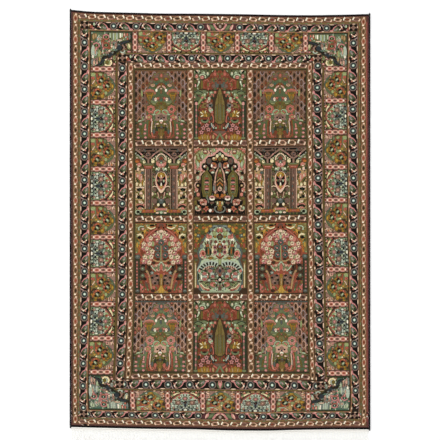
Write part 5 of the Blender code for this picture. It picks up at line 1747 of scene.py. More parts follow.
def draw_panel_backs():
    """The field's underside: each panel's ground and its two darkest masses."""
    p = Cartoon()
    for y0, y1 in ROWS:
        for column, (x0, x1) in enumerate(COLUMNS):
            middle, level = (x0 + x1) / 2, (y0 + y1) / 2
            ground, mass = ("bark", "walnut") if column == 1 else ("walnut", "moss")
            p.draw(ground, block(x0 + 1, y0 + 1, x1 - 1, y1 - 1))
            p.draw(mass, (middle, level, 17, 26))
            p.draw("plum", (middle, level, 8, 14))
    return p


# %% [markdown]
# The drawing is flat and square, but the rug isn't: a weaver's beam and years of use leave both
# ends curved. The curve is read from the solids of the two end bands, so that the pile meets them
# all along. Towards the middle of the rug the curve fades out, as it does on the real one. The
# pattern also creeps: a weaver who beats the rows a little harder at one side ends up with motifs
# that sit higher there. The creep was measured against even spacing at a few heights.

# %% Read the curved ends from the solids
def edge_points(node, highest):
    """(x, y) along one edge of a flat solid, from left to right: its highest or its lowest y."""
    reach = {}
    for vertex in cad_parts[node].data.vertices:
        x = round(vertex.co.x, 4)
        y = vertex.co.y if highest else -vertex.co.y
        reach[x] = max(reach.get(x, -9.0), y)
    return [(x, reach[x] if highest else -reach[x]) for x in sorted(reach)]


def read_edge(points, x):
    """The y of an edge at one x, between its points."""
    for (x0, y0), (x1, y1) in zip(points, points[1:]):
        if x <= x1:
            return y0 + (y1 - y0) * (x - x0) / (x1 - x0)
    return points[-1][1]


PILE_TOP_EDGE = edge_points("pile_field", True)
PILE_BOTTOM_EDGE = edge_points("pile_field", False)
print("the upper end climbs", round(1000 * (PILE_TOP_EDGE[0][1] - PILE_TOP_EDGE[-1][1])), "mm to the left")


# %% [markdown]
# lay() turns a point of the drawing into a place on the floor: it adds the creep, and then bends
# the ends to their curve. pile_height() gives the surface its slight waves and its worn rim.

# %% From squared paper to the floor
PILE_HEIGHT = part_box("pile_field")[1][2]
EDGE_ROUNDING = 0.0022  # how far the pile's rim bends down
UNEVEN = 0.00035  # how far the pile's surface wanders
FADE = 60.0  # squares over which an end's curve fades out

# How far the pattern has crept, in squares, as (squares down the rug, creep) points
CREEP_DOWN = {
    "left": ((0, 0), (60, 0), (92, -0.7), (120, -1.6), (150, -1.1), (188, -1), (212, -0.2), (226, -0.3),
             (245, -1), (275, -1), (318, 0), (360, 0), (384, 0.9), (396, 0.8), (405, 0), (420, 0)),
    "middle": ((0, 0), (50, 0), (62, 0.6), (90, 1), (170, 1), (190, 1.7), (212, 1), (226, 0.7),
               (246, 1.5), (275, 0.2), (300, -0.9), (316, -1.4), (345, 0), (360, 0), (384, 0.9),
               (396, 0.8), (405, 0), (420, 0)),
    "right": ((0, 0), (12, 0), (55, -0.6), (75, -1.5), (90, -2.3), (105, -3.5), (120, -4.7),
              (135, -4.2), (150, -3), (185, -3.7), (197, -4), (212, -2.8), (240, -2.3), (270, -1.3),
              (290, -0.5), (316, 0.5), (330, 0.8), (354, 0.8), (372, 2.4), (384, 1.4), (396, 0.8),
              (405, 0), (420, 0)),
}
CREEP_ACROSS = {
    "left": ((0, 0), (295, 0), (316, -0.8), (346, -1.9), (362, -2.6), (393, -2.6), (410, 0), (420, 0)),
    "right": ((0, 0), (50, 0), (62, -0.8), (110, -0.8), (140, 0), (225, 0), (245, 1), (300, 1.1),
              (330, 1.5), (350, 2), (380, 3), (396, 3), (410, 0), (420, 0)),
}
SPREAD = 8  # squares over which each kink is smoothed
LEFT_CREEPS = 62.3  # the left side's own creep reaches from here to the rug's edge
RIGHT_STARTS = 180  # squares across, where the right side's creep begins
SUDDEN = 0.82  # the share of it that comes at the field's edge, beside the panels


def smoothed(points):
    """The creep at every whole square down the rug."""
    return [sum(read_edge(points, v + step) for step in (-SPREAD, 0, SPREAD)) / 3
            for v in range(round(LONG) + 2)]


def between(low, high, value):
    """0 at low, 1 at high and the share of the way elsewhere."""
    return min(1.0, max(0.0, (value - low) / (high - low)))


DOWN = {side: smoothed(points) for side, points in CREEP_DOWN.items()}
ACROSS = {side: smoothed(points) for side, points in CREEP_ACROSS.items()}
print("the right side's motifs creep by up to", round(1000 * SQUARE * -min(DOWN["right"])), "mm")


def creep(u, v):
    """How far a point of the drawing has crept, across and down, in squares."""
    row = int(v)
    share = v - row

    def at(values):
        return values[row] * (1 - share) + values[row + 1] * share

    down = at(DOWN["middle"])
    if u < FIELD[0]:
        down += (at(DOWN["left"]) - down) * between(FIELD[0], LEFT_CREEPS, u)
    elif u > RIGHT_STARTS:
        beside = between(45, 56, v) * between(370, 359, v)  # 1 beside the panels, 0 above and below
        sudden = 0.18 * between(RIGHT_STARTS, 236.8, u) + SUDDEN * between(236.8, 240, u)
        gentle = between(RIGHT_STARTS, 246, u) ** 2
        down += (at(DOWN["right"]) - down) * (beside * sudden + (1 - beside) * gentle)
    if u < MIDDLE:
        across = at(ACROSS["left"]) * between(150, 66, u) * between(PILE_LEFT, 24, u)
    else:
        across = at(ACROSS["right"]) * between(150, 236, u) * between(PILE_RIGHT, WIDE - 22, u)
    return across, down


def lay(u, v):
    """The place on the floor of a point of the drawing."""
    across, down = creep(u, v)
    u, v = u + across, v + down
    x = (u - WIDE / 2) * SQUARE
    straight = (LONG / 2 - v) * SQUARE
    top_shift = read_edge(PILE_TOP_EDGE, x) - (LONG / 2 - PILE_TOP) * SQUARE
    bottom_shift = read_edge(PILE_BOTTOM_EDGE, x) - (LONG / 2 - PILE_BOTTOM) * SQUARE
    near_top = max(0.0, 1.0 - (v - PILE_TOP) / FADE)
    near_bottom = max(0.0, 1.0 - (PILE_BOTTOM - v) / FADE)
    return x, straight + top_shift * near_top + bottom_shift * near_bottom


def pile_height(u, v):
    """The pile's height there: a gently uneven surface that bends down at the rim."""
    rim = min(u - PILE_LEFT, PILE_RIGHT - u, v - PILE_TOP, PILE_BOTTOM - v)
    drop = EDGE_ROUNDING * max(0.0, 1.0 - rim / RIM) ** 2
    wander = math.sin(u / 9.3 + 1.7 * math.sin(v / 21.0)) + math.sin(v / 12.1 + 1.3 * math.sin(u / 17.0))
    return PILE_HEIGHT - UNEVEN + UNEVEN * 0.5 * wander - drop


# %% [markdown]
# Paint on a mesh needs an edge wherever two yarns meet. Blender's constrained Delaunay
# triangulation takes all the flat shapes at once, cuts them where they cross, and says which shapes
# lie over each triangle. The shape that was drawn last is the one that shows. Much of what was drawn
# is hidden, so the triangulation runs a second time with only the edges between two yarns.

# %% Turn a drawing into triangles
SMALLEST = 0.02  # square squares: a smaller shape isn't worth a knot
MERGED = 0.004  # squares: points nearer than this become one
STRAIGHT = 0.03  # how far off a straight edge a point may be and still be dropped
WHOLE = (PILE_LEFT, PILE_TOP, PILE_RIGHT, PILE_BOTTOM)


def tidy_outline(outline, limits):
    """Keeps an outline inside the limits, drops repeated points and splits long edges."""
    left, top, right, bottom = limits
    points = []
    for x, y in outline:
        point = (round(min(max(x, left), right), 2), round(min(max(y, top), bottom), 2))
        if not points or point != points[-1]:
            points.append(point)
    if len(points) > 1 and points[0] == points[-1]:
        points.pop()
    split = []
    for (x0, y0), (x1, y1) in zip(points, points[1:] + points[:1]):
        pieces = max(1, math.ceil(max(abs(x1 - x0), abs(y1 - y0)) / LONGEST_EDGE))
        split += [(x0 + (x1 - x0) * k / pieces, y0 + (y1 - y0) * k / pieces) for k in range(pieces)]
    return split


def join_points(outlines):
    """(points, outlines as point numbers) with each place listed once."""
    points, index, numbered = [], {}, []
    for outline in outlines:
        if signed_area(outline) < 0:
            outline = outline[::-1]
        for point in outline:
            if point not in index:
                index[point] = len(points)
                points.append(Vector(point))
        numbered.append([index[point] for point in outline])
    return points, numbered


def cut_shapes(shapes, limits):
    """(points, triangles, yarn of each triangle, new number of each given point). A shape whose
    yarn is None is a hole in those before it."""
    kept = []
    for yarn, outline in shapes:
        outline = tidy_outline(outline, limits)
        if len(outline) > 2 and abs(signed_area(outline)) >= SMALLEST:
            kept.append((yarn, outline))
    points, faces = join_points([outline for _, outline in kept])
    made, _, triangles, came_from, _, over = delaunay_2d_cdt(points, [], faces, 0, MERGED)
    covered = [0.0] * len(kept)
    for corners, shapes_over in zip(triangles, over):
        area = signed_area([made[k] for k in corners])
        for which in shapes_over:
            covered[which] += area
    # A sliver whose corners are merged can turn inside out and cover everything but itself
    spilled = {which for which, (_, outline) in enumerate(kept)
               if covered[which] > 2 * abs(signed_area(outline)) + 1}
    seen = []
    for corners, shapes_over in zip(triangles, over):
        whole = set(shapes_over) - spilled
        yarn = kept[max(whole)][0] if whole else None
        if yarn:
            seen.append((tuple(corners), yarn))
    new_number = {given: k for k, sources in enumerate(came_from) for given in sources}
    return made, [t for t, _ in seen], [yarn for _, yarn in seen], new_number


def colour_borders(triangles, yarns):
    """The directed edges with another yarn, or nothing, on their right, and the yarn on their left."""
    left = {}
    for (a, b, c), yarn in zip(triangles, yarns):
        left[a, b] = left[b, c] = left[c, a] = yarn
    return {edge: yarn for edge, yarn in left.items() if left.get((edge[1], edge[0])) != yarn}


def straighten(points, borders):
    """Drops the points where two pieces of one straight border meet."""
    nexts, befores = {}, {}
    for a, b in borders:
        nexts.setdefault(a, []).append(b)
        befores.setdefault(b, []).append(a)
    for here in list(nexts):
        around = set(nexts[here]) | set(befores[here])
        if len(around) != 2:
            continue
        a, b = around
        (ax, ay), (x, y), (bx, by) = points[a], points[here], points[b]
        long = math.hypot(bx - ax, by - ay)
        bend = abs((bx - ax) * (ay - y) - (ax - x) * (by - ay))
        if long > LONGEST_EDGE or bend > STRAIGHT * max(long, 1e-6):
            continue
        if (a, b) in borders or (b, a) in borders:
            continue
        for start, end in ((a, b), (b, a)):
            if (start, here) in borders:
                borders[start, end] = borders.pop((start, here))
                del borders[here, end]
                nexts[start] = [end if k == here else k for k in nexts[start]]
                befores[end] = [start if k == here else k for k in befores[end]]
    return borders


def triangulate(shapes, limits):
    """(points, triangles, yarn of each triangle) of the drawing, with no edge inside one yarn's
    area but those that fill it."""
    made, triangles, yarns, _ = cut_shapes(shapes, limits)
    borders = straighten(made, colour_borders(triangles, yarns))
    used = sorted({k for edge in borders for k in edge})
    number = {k: n for n, k in enumerate(used)}
    edges = sorted({(min(number[a], number[b]), max(number[a], number[b])) for a, b in borders})
    final, _, triangles, came_from, _, _ = delaunay_2d_cdt([made[k] for k in used], edges, [], 0, 0.0)
    source = [given[0] if given else -1 for given in came_from]
    side = {(number[a], number[b]): yarn for (a, b), yarn in borders.items()}
    walls = set(side) | {(b, a) for a, b in side}

    # Each yarn starts from the borders it was seen at and flows over the triangles between them.
    yarns = [None] * len(triangles)
    across, waiting = {}, []
    for which, corners in enumerate(triangles):
        for start, end in zip(corners, corners[1:] + corners[:1]):
            across[start, end] = which
            yarns[which] = yarns[which] or side.get((source[start], source[end]))
        if yarns[which]:
            waiting.append(which)
    while waiting:
        which = waiting.pop()
        corners = triangles[which]
        for start, end in zip(corners, corners[1:] + corners[:1]):
            other = across.get((end, start))
            if other is not None and not yarns[other] and (source[start], source[end]) not in walls:
                yarns[other] = yarns[which]
                waiting.append(other)
    inside = [k for k in range(len(triangles)) if yarns[k]]
    points = [tuple(point) for point in final]
    return points, [tuple(triangles[k]) for k in inside], [yarns[k] for k in inside]


def rim_loops(triangles):
    """The outer and inner edges of a flat mesh, each as point numbers in order."""
    edges = {edge for a, b, c in triangles for edge in ((a, b), (b, c), (c, a))}
    following = {a: b for a, b in edges if (b, a) not in edges}
    loops = []
    while following:
        start = min(following)
        loop, here = [start], following.pop(start)
        while here != start:
            loop.append(here)
            here = following.pop(here)
        loops.append(loop)
    return loops


# %% [markdown]
# Each part of the pile is one closed body: the patterned top, walls down to the floor, and the
# underside, where a knotted rug shows its pattern again in duller, flat knots. The underside is
# drawn in broad areas, because only its main colours read from below.

# %% Build a part of the pile
def linear(channel):
    """An sRGB channel from 0 to 255, as the linear light that materials take."""
    value = channel / 255
    return value / 12.92 if value <= 0.04045 else ((value + 0.055) / 1.055) ** 2.4


def new_object(name, data):
    """A new object of the scene, made from a mesh, a curve, a camera or a lamp."""
    made = bpy.data.objects.new(name, data)
    bpy.context.scene.collection.objects.link(made)
    return made


def build_pile(name, front, back, limits=WHOLE, shade=1.0):
    """One sheet of pile, its top and underside coloured by their drawings. shade darkens its dyes."""
    tops, top_faces, top_yarns = triangulate(front, limits)
    loops = rim_loops(top_faces)
    rims = [[tops[k] for k in loop] for loop in loops]
    outer = max(rims, key=signed_area)
    holes = [rim for rim in rims if rim is not outer]
    points, faces = join_points([outer] + [tidy_outline(outline, WHOLE) for _, outline in back] + holes)
    under_colours = ["bark"] + [yarn for yarn, _ in back] + [None] * len(holes)
    number = {tuple(point): k for k, point in enumerate(points)}
    under, _, triangles, came_from, _, over = delaunay_2d_cdt(points, [], faces, 0, MERGED)
    new_number = {given: k for k, sources in enumerate(came_from) for given in sources}

    shift = len(tops)
    places = [(*lay(u, v), pile_height(u, v)) for u, v in tops] + [(*lay(u, v), 0.0) for u, v in under]
    all_faces = [(tuple(reversed(t)), yarn, "top") for t, yarn in zip(top_faces, top_yarns)]
    for corners, shapes_over in zip(triangles, over):
        yarn = under_colours[max(shapes_over)] if shapes_over else None
        if yarn:
            all_faces.append((tuple(shift + k for k in corners), yarn, "under"))
    for loop in loops:
        for a, b in zip(loop, loop[1:] + loop[:1]):
            low_a, low_b = (shift + new_number[number[tuple(Vector(tops[k]))]] for k in (a, b))
            all_faces.append(((a, b, low_b, low_a), "umber", "wall"))

    mesh = bpy.data.meshes.new(name)
    mesh.from_pydata(places, [], [face for face, _, _ in all_faces])
    paint = mesh.attributes.new("yarn", "FLOAT_COLOR", "CORNER")
    colours = []
    for face, yarn, _ in all_faces:
        colours += [*(shade * linear(c) for c in YARNS[yarn]), 1.0] * len(face)
    paint.data.foreach_set("color", colours)
    add_unwrap(mesh, [kind for _, _, kind in all_faces], holes)
    mesh.update()
    mesh.validate()
    return new_object(name, mesh)


# %% [markdown]
# This unwrap lays the pile out on one square picture and gives nearly all of it to the top.
# The underside goes in the hole in the middle of the border, or else in a strip at the left.

# %% Unwrap the pile
UNDER_SHARE = 0.12  # of the picture's width, for the underside
MARGIN = 0.004
HOLE_BOX = (0.26, 0.2, 0.74, 0.8)  # the underside's place inside the border's hole


def add_unwrap(mesh, kinds, holes):
    """Unwraps a part of the pile. kinds says of each face whether it is top, under or wall."""
    flat = mesh.uv_layers.new(name="OFBake")
    low, high = ([pick(vertex.co[axis] for vertex in mesh.vertices) for axis in (0, 1)]
            for pick in (min, max))
    top_box = (MARGIN if holes else UNDER_SHARE + MARGIN, MARGIN, 1 - MARGIN, 1 - MARGIN)
    under_box = HOLE_BOX if holes else (MARGIN, MARGIN, UNDER_SHARE - MARGIN, 1 - MARGIN)
    values = []
    for polygon, kind in zip(mesh.polygons, kinds):
        for corner in polygon.vertices:
            x, y, _ = mesh.vertices[corner].co
            across, along = (x - low[0]) / (high[0] - low[0]), (y - low[1]) / (high[1] - low[1])
            left, bottom, right, top = top_box
            if kind == "under":
                left, bottom, right, top = under_box
                across = 1 - across
            elif kind == "wall":
                left = right = left + (right - left) * across
                across = 0.0
            values += [left + across * (right - left), bottom + along * (top - bottom)]
    flat.data.foreach_set("uv", values)


# %% [markdown]
# Wool and cotton share one look up close: fine fibres that break up the colour, and a soft, uneven
# surface. That is a node group, so that every yarn in the rug can use it at its own size. It puts
# out a shade to multiply the colour by, and a height for a Bump node.

# %% A node group for fibres
def socket(group, name, kind, in_out, value=None):
    made = group.interface.new_socket(name=name, in_out=in_out, socket_type=kind)
    if value is not None:
        made.default_value = value
    return made


def math_node(tree, operation, first, second=None, third=None):
    node = tree.nodes.new("ShaderNodeMath")
    node.operation = operation
    for slot, value in zip(node.inputs, (first, second, third)):
        if isinstance(value, bpy.types.NodeSocket):
            tree.links.new(value, slot)
        elif value is not None:
            slot.default_value = value
    return node.outputs[0]


def noise_node(tree, vector, scale, detail=2.0, roughness=0.5):
    node = tree.nodes.new("ShaderNodeTexNoise")
    node.inputs["Detail"].default_value = detail
    node.inputs["Roughness"].default_value = roughness
    if isinstance(scale, bpy.types.NodeSocket):
        tree.links.new(scale, node.inputs["Scale"])
    else:
        node.inputs["Scale"].default_value = scale
    tree.links.new(vector, node.inputs["Vector"])
    return node.outputs["Fac"]


def scaled_vector(tree, vector, scale):
    node = tree.nodes.new("ShaderNodeMapping")
    node.inputs["Scale"].default_value = scale
    tree.links.new(vector, node.inputs["Vector"])
    return node.outputs["Vector"]


def make_fibre_group():
    """Fine and Coarse are the scales of its two noises, and Contrast is how far Shade varies."""
    group = bpy.data.node_groups.new("fibres", "ShaderNodeTree")
    socket(group, "Fine", "NodeSocketFloat", "INPUT", 900.0)
    socket(group, "Coarse", "NodeSocketFloat", "INPUT", 120.0)
    socket(group, "Contrast", "NodeSocketFloat", "INPUT", 0.2)
    socket(group, "Shade", "NodeSocketFloat", "OUTPUT")
    socket(group, "Height", "NodeSocketFloat", "OUTPUT")
    given = group.nodes.new("NodeGroupInput")
    out = group.nodes.new("NodeGroupOutput")
    place = group.nodes.new("ShaderNodeTexCoord").outputs["Object"]
    fine = noise_node(group, place, given.outputs["Fine"], 3.0, 0.6)
    coarse = noise_node(group, place, given.outputs["Coarse"], 2.0)
    both = math_node(group, "ADD", fine, coarse)
    centred = math_node(group, "SUBTRACT", both, 1.0)
    shade = math_node(group, "MULTIPLY_ADD", centred, given.outputs["Contrast"], 1.0)
    height = math_node(group, "MULTIPLY_ADD", coarse, 0.6, fine)
    group.links.new(shade, out.inputs["Shade"])
    group.links.new(height, out.inputs["Height"])
    return group


FIBRES = make_fibre_group()
print("node group:", FIBRES.name)


def fibres_in(tree, fine, coarse, contrast):
    node = tree.nodes.new("ShaderNodeGroup")
    node.node_tree = FIBRES
    node.inputs["Fine"].default_value = fine
    node.inputs["Coarse"].default_value = coarse
    node.inputs["Contrast"].default_value = contrast
    return node.outputs["Shade"], node.outputs["Height"]


def shaded(tree, colour, *shades):
    """The colour, multiplied by each shade in turn."""
    for shade in shades:
        node = tree.nodes.new("ShaderNodeVectorMath")
        node.operation = "SCALE"
        tree.links.new(colour, node.inputs[0])
        tree.links.new(shade, node.inputs["Scale"])
        colour = node.outputs["Vector"]
    return colour


def varied(tree, value, amount, middle=1.0):
    """A shade about the middle, from a value between 0 and 1."""
    return math_node(tree, "MULTIPLY_ADD", math_node(tree, "SUBTRACT", value, 0.5), amount, middle)


def bumped(tree, height, distance):
    node = tree.nodes.new("ShaderNodeBump")
    node.inputs["Distance"].default_value = distance
    node.inputs["Strength"].default_value = 1.0
    tree.links.new(height, node.inputs["Height"])
    return node.outputs["Normal"]


def new_material(name, roughness, sheen):
    material = bpy.data.materials.new(name)
    material.use_nodes = True
    surface = material.node_tree.nodes["Principled BSDF"]
    surface.inputs["Roughness"].default_value = roughness
    surface.inputs["Specular IOR Level"].default_value = 0.1
    surface.inputs["Sheen Weight"].default_value = sheen
    surface.inputs["Sheen Roughness"].default_value = 0.5
    return material, material.node_tree, surface


# %% [markdown]
# The pile is cut wool, knotted in rows about two and a half millimetres apart. Each knot took its
# own bit of yarn, so no two are quite the same shade, and each batch of dyed wool differs a little
# from the last, which shows as faint bands across the rug. Voronoi cells are the knots; a noise
# that is stretched across the rug is the bands. A finer noise shifts the dye from spot to spot.
# The bands vary about a painted shade that darkens all the pile's colour, as shade between the
# tufts would.

# %% The pile's material
KNOT = 0.0026  # metres
KNOT_UNEVEN = 0.55
KNOT_SHADE = 0.30
SPOTS_PER_METRE = 150.0
SPOT_SHADE = 0.35
BAND_STRETCH = (1.2, 9.0, 0.0)
BAND_SHADE = 0.22
PILE_FIBRES = (1400.0, 260.0, 0.25)  # fine, coarse and contrast
PILE_BUMP = 0.0009  # metres
DYE_SHIFT = 0.5  # how far a spot's red and blue move against each other
BLUE_LOST = 0.07  # old undyed wool has yellowed
PILE_PAINTED_SHADE = 0.885  # painted shade: darkens all the pile's colour, as shade between the tufts would


def make_pile_material():
    material, tree, surface = new_material("wool_pile", 0.92, 0.03)
    place = tree.nodes.new("ShaderNodeTexCoord").outputs["Object"]
    yarn = tree.nodes.new("ShaderNodeAttribute")
    yarn.attribute_name = "yarn"

    knots = tree.nodes.new("ShaderNodeTexVoronoi")
    knots.inputs["Scale"].default_value = 1.0
    knots.inputs["Randomness"].default_value = KNOT_UNEVEN
    tree.links.new(scaled_vector(tree, place, (1 / KNOT, 1 / KNOT, 0.0)), knots.inputs["Vector"])
    parts = tree.nodes.new("ShaderNodeSeparateColor")
    tree.links.new(knots.outputs["Color"], parts.inputs["Color"])
    knot_shade = varied(tree, parts.outputs["Red"], KNOT_SHADE)

    spots = noise_node(tree, scaled_vector(tree, place, (1.0, 1.0, 0.0)), SPOTS_PER_METRE, 1.0)
    spot_shade = varied(tree, spots, SPOT_SHADE)
    dye = tree.nodes.new("ShaderNodeVectorMath")
    dye.operation = "MULTIPLY_ADD"
    tree.links.new(spots.node.outputs["Color"], dye.inputs[0])
    dye.inputs[1].default_value = (DYE_SHIFT, DYE_SHIFT * 0.6, DYE_SHIFT)
    dye.inputs[2].default_value = (1 - DYE_SHIFT / 2, 1 - DYE_SHIFT * 0.3, 1 - DYE_SHIFT / 2 - BLUE_LOST)
    dyed_yarn = tree.nodes.new("ShaderNodeVectorMath")
    dyed_yarn.operation = "MULTIPLY"
    tree.links.new(yarn.outputs["Color"], dyed_yarn.inputs[0])
    tree.links.new(dye.outputs["Vector"], dyed_yarn.inputs[1])
    bands = noise_node(tree, scaled_vector(tree, place, BAND_STRETCH), 2.0, 3.0)
    # the faint bands vary about the painted shade, which darkens the whole pile as shade between the tufts
    # would
    bands_and_painted_shade = varied(tree, bands, BAND_SHADE, PILE_PAINTED_SHADE)
    fibre_shade, fibre_height = fibres_in(tree, *PILE_FIBRES)
    colour = shaded(tree, dyed_yarn.outputs["Vector"], knot_shade, spot_shade, bands_and_painted_shade, fibre_shade)
    tree.links.new(colour, surface.inputs["Base Color"])

    dome = math_node(tree, "SUBTRACT", 1.0, knots.outputs["Distance"])
    height = math_node(tree, "MULTIPLY_ADD", fibre_height, 0.35, dome)
    tree.links.new(bumped(tree, height, PILE_BUMP), surface.inputs["Normal"])
    return material


# %% [markdown]
# The side cords and the end bands are dark wool, and the strip, its twined row and the fringe are
# pale cotton, each in its own shade. On the bands and the strip the weave shows as slanting ribs,
# which a wave texture draws as bumps and as painted shade, darker between the ribs and lighter on
# their crests.

# %% Materials of the edges
RIB_BUMP = 0.0006  # metres


def make_plain_material(name, rgb, roughness, sheen, fine, contrast, ribs=None, groove_shade=0.22):
    """One colour of yarn. ribs is (scale across, scale along) of a rib pattern, in waves a metre."""
    material, tree, surface = new_material(name, roughness, sheen)
    base = tree.nodes.new("ShaderNodeRGB")
    base.outputs[0].default_value = (*(linear(c) for c in rgb), 1.0)
    shade, height = fibres_in(tree, fine, fine / 7, contrast)
    if ribs:
        place = tree.nodes.new("ShaderNodeTexCoord").outputs["Object"]
        wave = tree.nodes.new("ShaderNodeTexWave")
        wave.inputs["Scale"].default_value = 1.0
        wave.inputs["Distortion"].default_value = 0.6
        wave.inputs["Detail"].default_value = 1.0
        wave.bands_direction = "DIAGONAL"
        tree.links.new(scaled_vector(tree, place, (ribs[0], ribs[1], 0.0)), wave.inputs["Vector"])
        height = math_node(tree, "MULTIPLY_ADD", height, 0.5, wave.outputs["Fac"])
        # painted shade: the colour is darker between the ribs and lighter on their crests, following the rib
        # heights
        painted_groove_shade = math_node(tree, "MULTIPLY_ADD", wave.outputs["Fac"], groove_shade, 1.0 - groove_shade * 0.6)
        colour = shaded(tree, base.outputs[0], shade, painted_groove_shade)
    else:
        colour = shaded(tree, base.outputs[0], shade)
    tree.links.new(colour, surface.inputs["Base Color"])
    tree.links.new(bumped(tree, height, RIB_BUMP), surface.inputs["Normal"])
    return material


PILE_WOOL = make_pile_material()
CORD_WOOL = make_plain_material("dark_wool", (4, 3, 3), 1.0, 0.0, 1500.0, 0.5)
BAND_WOOL = make_plain_material("band_wool", (13, 10, 10), 0.9, 0.02, 1500.0, 0.5, ribs=(0.0, 60.0))
STRIP_COTTON = make_plain_material("strip_cotton", (244, 242, 236), 0.9, 0.1, 1200.0, 0.06, ribs=(45.0, 90.0),
        groove_shade=0.08)
FRINGE_COTTON = make_plain_material("fringe_cotton", (254, 253, 248), 0.88, 0.1, 1600.0, 0.06)
TWINE_COTTON = make_plain_material("twine_cotton", (196, 190, 180), 0.9, 0.1, 1600.0, 0.2)
print("materials:", [m.name for m in bpy.data.materials if m.name != "Material"])


# %% [markdown]
# Each long side ends in a few warps bound with dark wool: a cord of close wraps. One wrap is
# modelled as a slanted ring, an Array modifier repeats it, and a plain core fills its middle. The
# first and last wraps shrink, where the cord's tip stands past the corner.

# %% Helpers for modelling with operators
FULL_TURN = 6.28  # radians


def select_only(*pieces):
    """Selects the pieces and nothing else, and makes the first one active."""
    bpy.ops.object.select_all(action="DESELECT")
    for piece in pieces:
        piece.select_set(True)
    bpy.context.view_layer.objects.active = pieces[0]


def finish_piece(piece, name, material, slot, *nodes):
    """Names a finished piece, gives it its yarn, and puts it in its solid's place."""
    piece.name = name
    piece.data.name = name
    piece.data.materials.clear()
    piece.data.materials.append(material)
    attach(piece, "root")
    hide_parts(*nodes)
    print(name, "has", sum(len(p.vertices) - 2 for p in piece.data.polygons), "triangles")
    return piece


def apply_modifiers(piece):
    select_only(piece)
    for modifier in list(piece.modifiers):
        bpy.ops.object.modifier_apply(modifier=modifier.name)


def apply_place(piece):
    select_only(piece)
    bpy.ops.object.transform_apply(location=True, rotation=True, scale=True)


def join(*pieces):
    select_only(*pieces)
    bpy.ops.object.join()
    return pieces[0]


# %% [markdown]
# Each long side is a bundle of warps, overcast with dark wool turn by turn. One turn is a short
# slanted ring, repeated along the cord with small changes of size, and the ends are pulled tighter.

# %% Overcast side cords
WRAP_PITCH = 0.0031
WRAP_THICKNESS = 0.0019
WRAP_OVERLAP = 1.15  # each wrap is a little fatter, so that none stands off the core
WRAP_SLANT = math.radians(14)
TIP_LENGTH = 0.009
TIP_SHARE = 0.55
CORD_SPREAD = 1.18  # wear has pressed the cord wider than it is high
CORD_SHIFT = 0.0006  # and a little outwards
PLUMPNESS = 0.05  # how far the cord's thickness varies, in two waves
LONG_WAVE, SHORT_WAVE = 31, 113  # radians a metre


def make_selvedge(node, side):
    """The cord that stands for one solid. side is -1 at the rug's left and 1 at its right."""
    low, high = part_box(node)
    radius = (high[2] - low[2]) / 2
    x = (low[0] + high[0]) / 2
    ring = radius - WRAP_THICKNESS / 2
    bpy.ops.mesh.primitive_torus_add(
        major_radius=ring, minor_radius=WRAP_THICKNESS / 2 * WRAP_OVERLAP, major_segments=10,
        minor_segments=5,
        location=(x, low[1] + WRAP_THICKNESS, radius), rotation=(math.radians(90), 0, side * WRAP_SLANT))
    wrap = bpy.context.object
    apply_place(wrap)
    row = wrap.modifiers.new("row", "ARRAY")
    row.use_relative_offset = False
    row.use_constant_offset = True
    row.constant_offset_displace = (0, WRAP_PITCH, 0)
    row.count = int((high[1] - low[1] - WRAP_THICKNESS) / WRAP_PITCH)
    apply_modifiers(wrap)
    bpy.ops.mesh.primitive_cylinder_add(
        vertices=10, radius=ring, depth=high[1] - low[1] - WRAP_THICKNESS,
        location=(x, (low[1] + high[1]) / 2, radius), rotation=(math.radians(90), 0, 0))
    core = bpy.context.object
    apply_place(core)
    cord = join(wrap, core)
    picks = random.Random(5 + side)
    long_start, short_start = picks.uniform(0, FULL_TURN), picks.uniform(0, FULL_TURN)
    for vertex in cord.data.vertices:
        y = vertex.co.y
        to_tip = min(y - low[1], high[1] - y)
        share = TIP_SHARE + (1 - TIP_SHARE) * min(1.0, max(0.0, to_tip / TIP_LENGTH)) ** 0.5
        long_swell = 1 + math.sin(LONG_WAVE * y + long_start)
        short_swell = 0.5 + 0.5 * math.sin(SHORT_WAVE * y + short_start)
        plump = 1.0 - PLUMPNESS * long_swell * short_swell
        vertex.co.x = x + side * CORD_SHIFT + (vertex.co.x - x) * share * plump * CORD_SPREAD
        vertex.co.z = vertex.co.z * share * plump
    bpy.ops.object.shade_smooth()
    return finish_piece(cord, node + "_wraps", CORD_WOOL, "selvedge", node)


SELVEDGES = [make_selvedge("selvedge_left", -1), make_selvedge("selvedge_right", 1)]


# %% [markdown]
# A flat woven band closes each end, and past the lower one lies a strip of plain cotton weave. Each
# starts as a grid and is moved, row by row, between the two edges of its solid. Solidify gives it
# its thickness.

# %% Woven bands and strip
RIPPLE, RIPPLE_WAVE = 0.12, 310  # a share of the dome, and radians a metre


def make_band(name, far_edge, near_edge, columns, rows, height, dome, material, slot, *nodes):
    """A woven band between two edges, each a list of (x, y), resting on the floor."""
    left, right = far_edge[0][0], far_edge[-1][0]
    bpy.ops.mesh.primitive_grid_add(x_subdivisions=columns, y_subdivisions=rows, size=1.0)
    band = bpy.context.object
    for vertex in band.data.vertices:
        across, along = vertex.co.x + 0.5, vertex.co.y + 0.5
        x = left + across * (right - left)
        y0, y1 = read_edge(near_edge, x), read_edge(far_edge, x)
        crown = 1.0 - (2 * along - 1) ** 4
        ripple = RIPPLE * math.sin(x * RIPPLE_WAVE) * crown
        vertex.co = (x, y0 + along * (y1 - y0), height - dome * (1 - crown) + dome * ripple)
    body = band.modifiers.new("body", "SOLIDIFY")
    body.thickness = height - dome
    body.offset = -1.0
    apply_modifiers(band)
    for vertex in band.data.vertices:
        vertex.co.z = max(vertex.co.z, 0.0)
    bpy.ops.object.shade_smooth()
    return finish_piece(band, name, material, slot, *nodes)


def moved_edge(edge, dy):
    return [(x, y + dy) for x, y in edge]


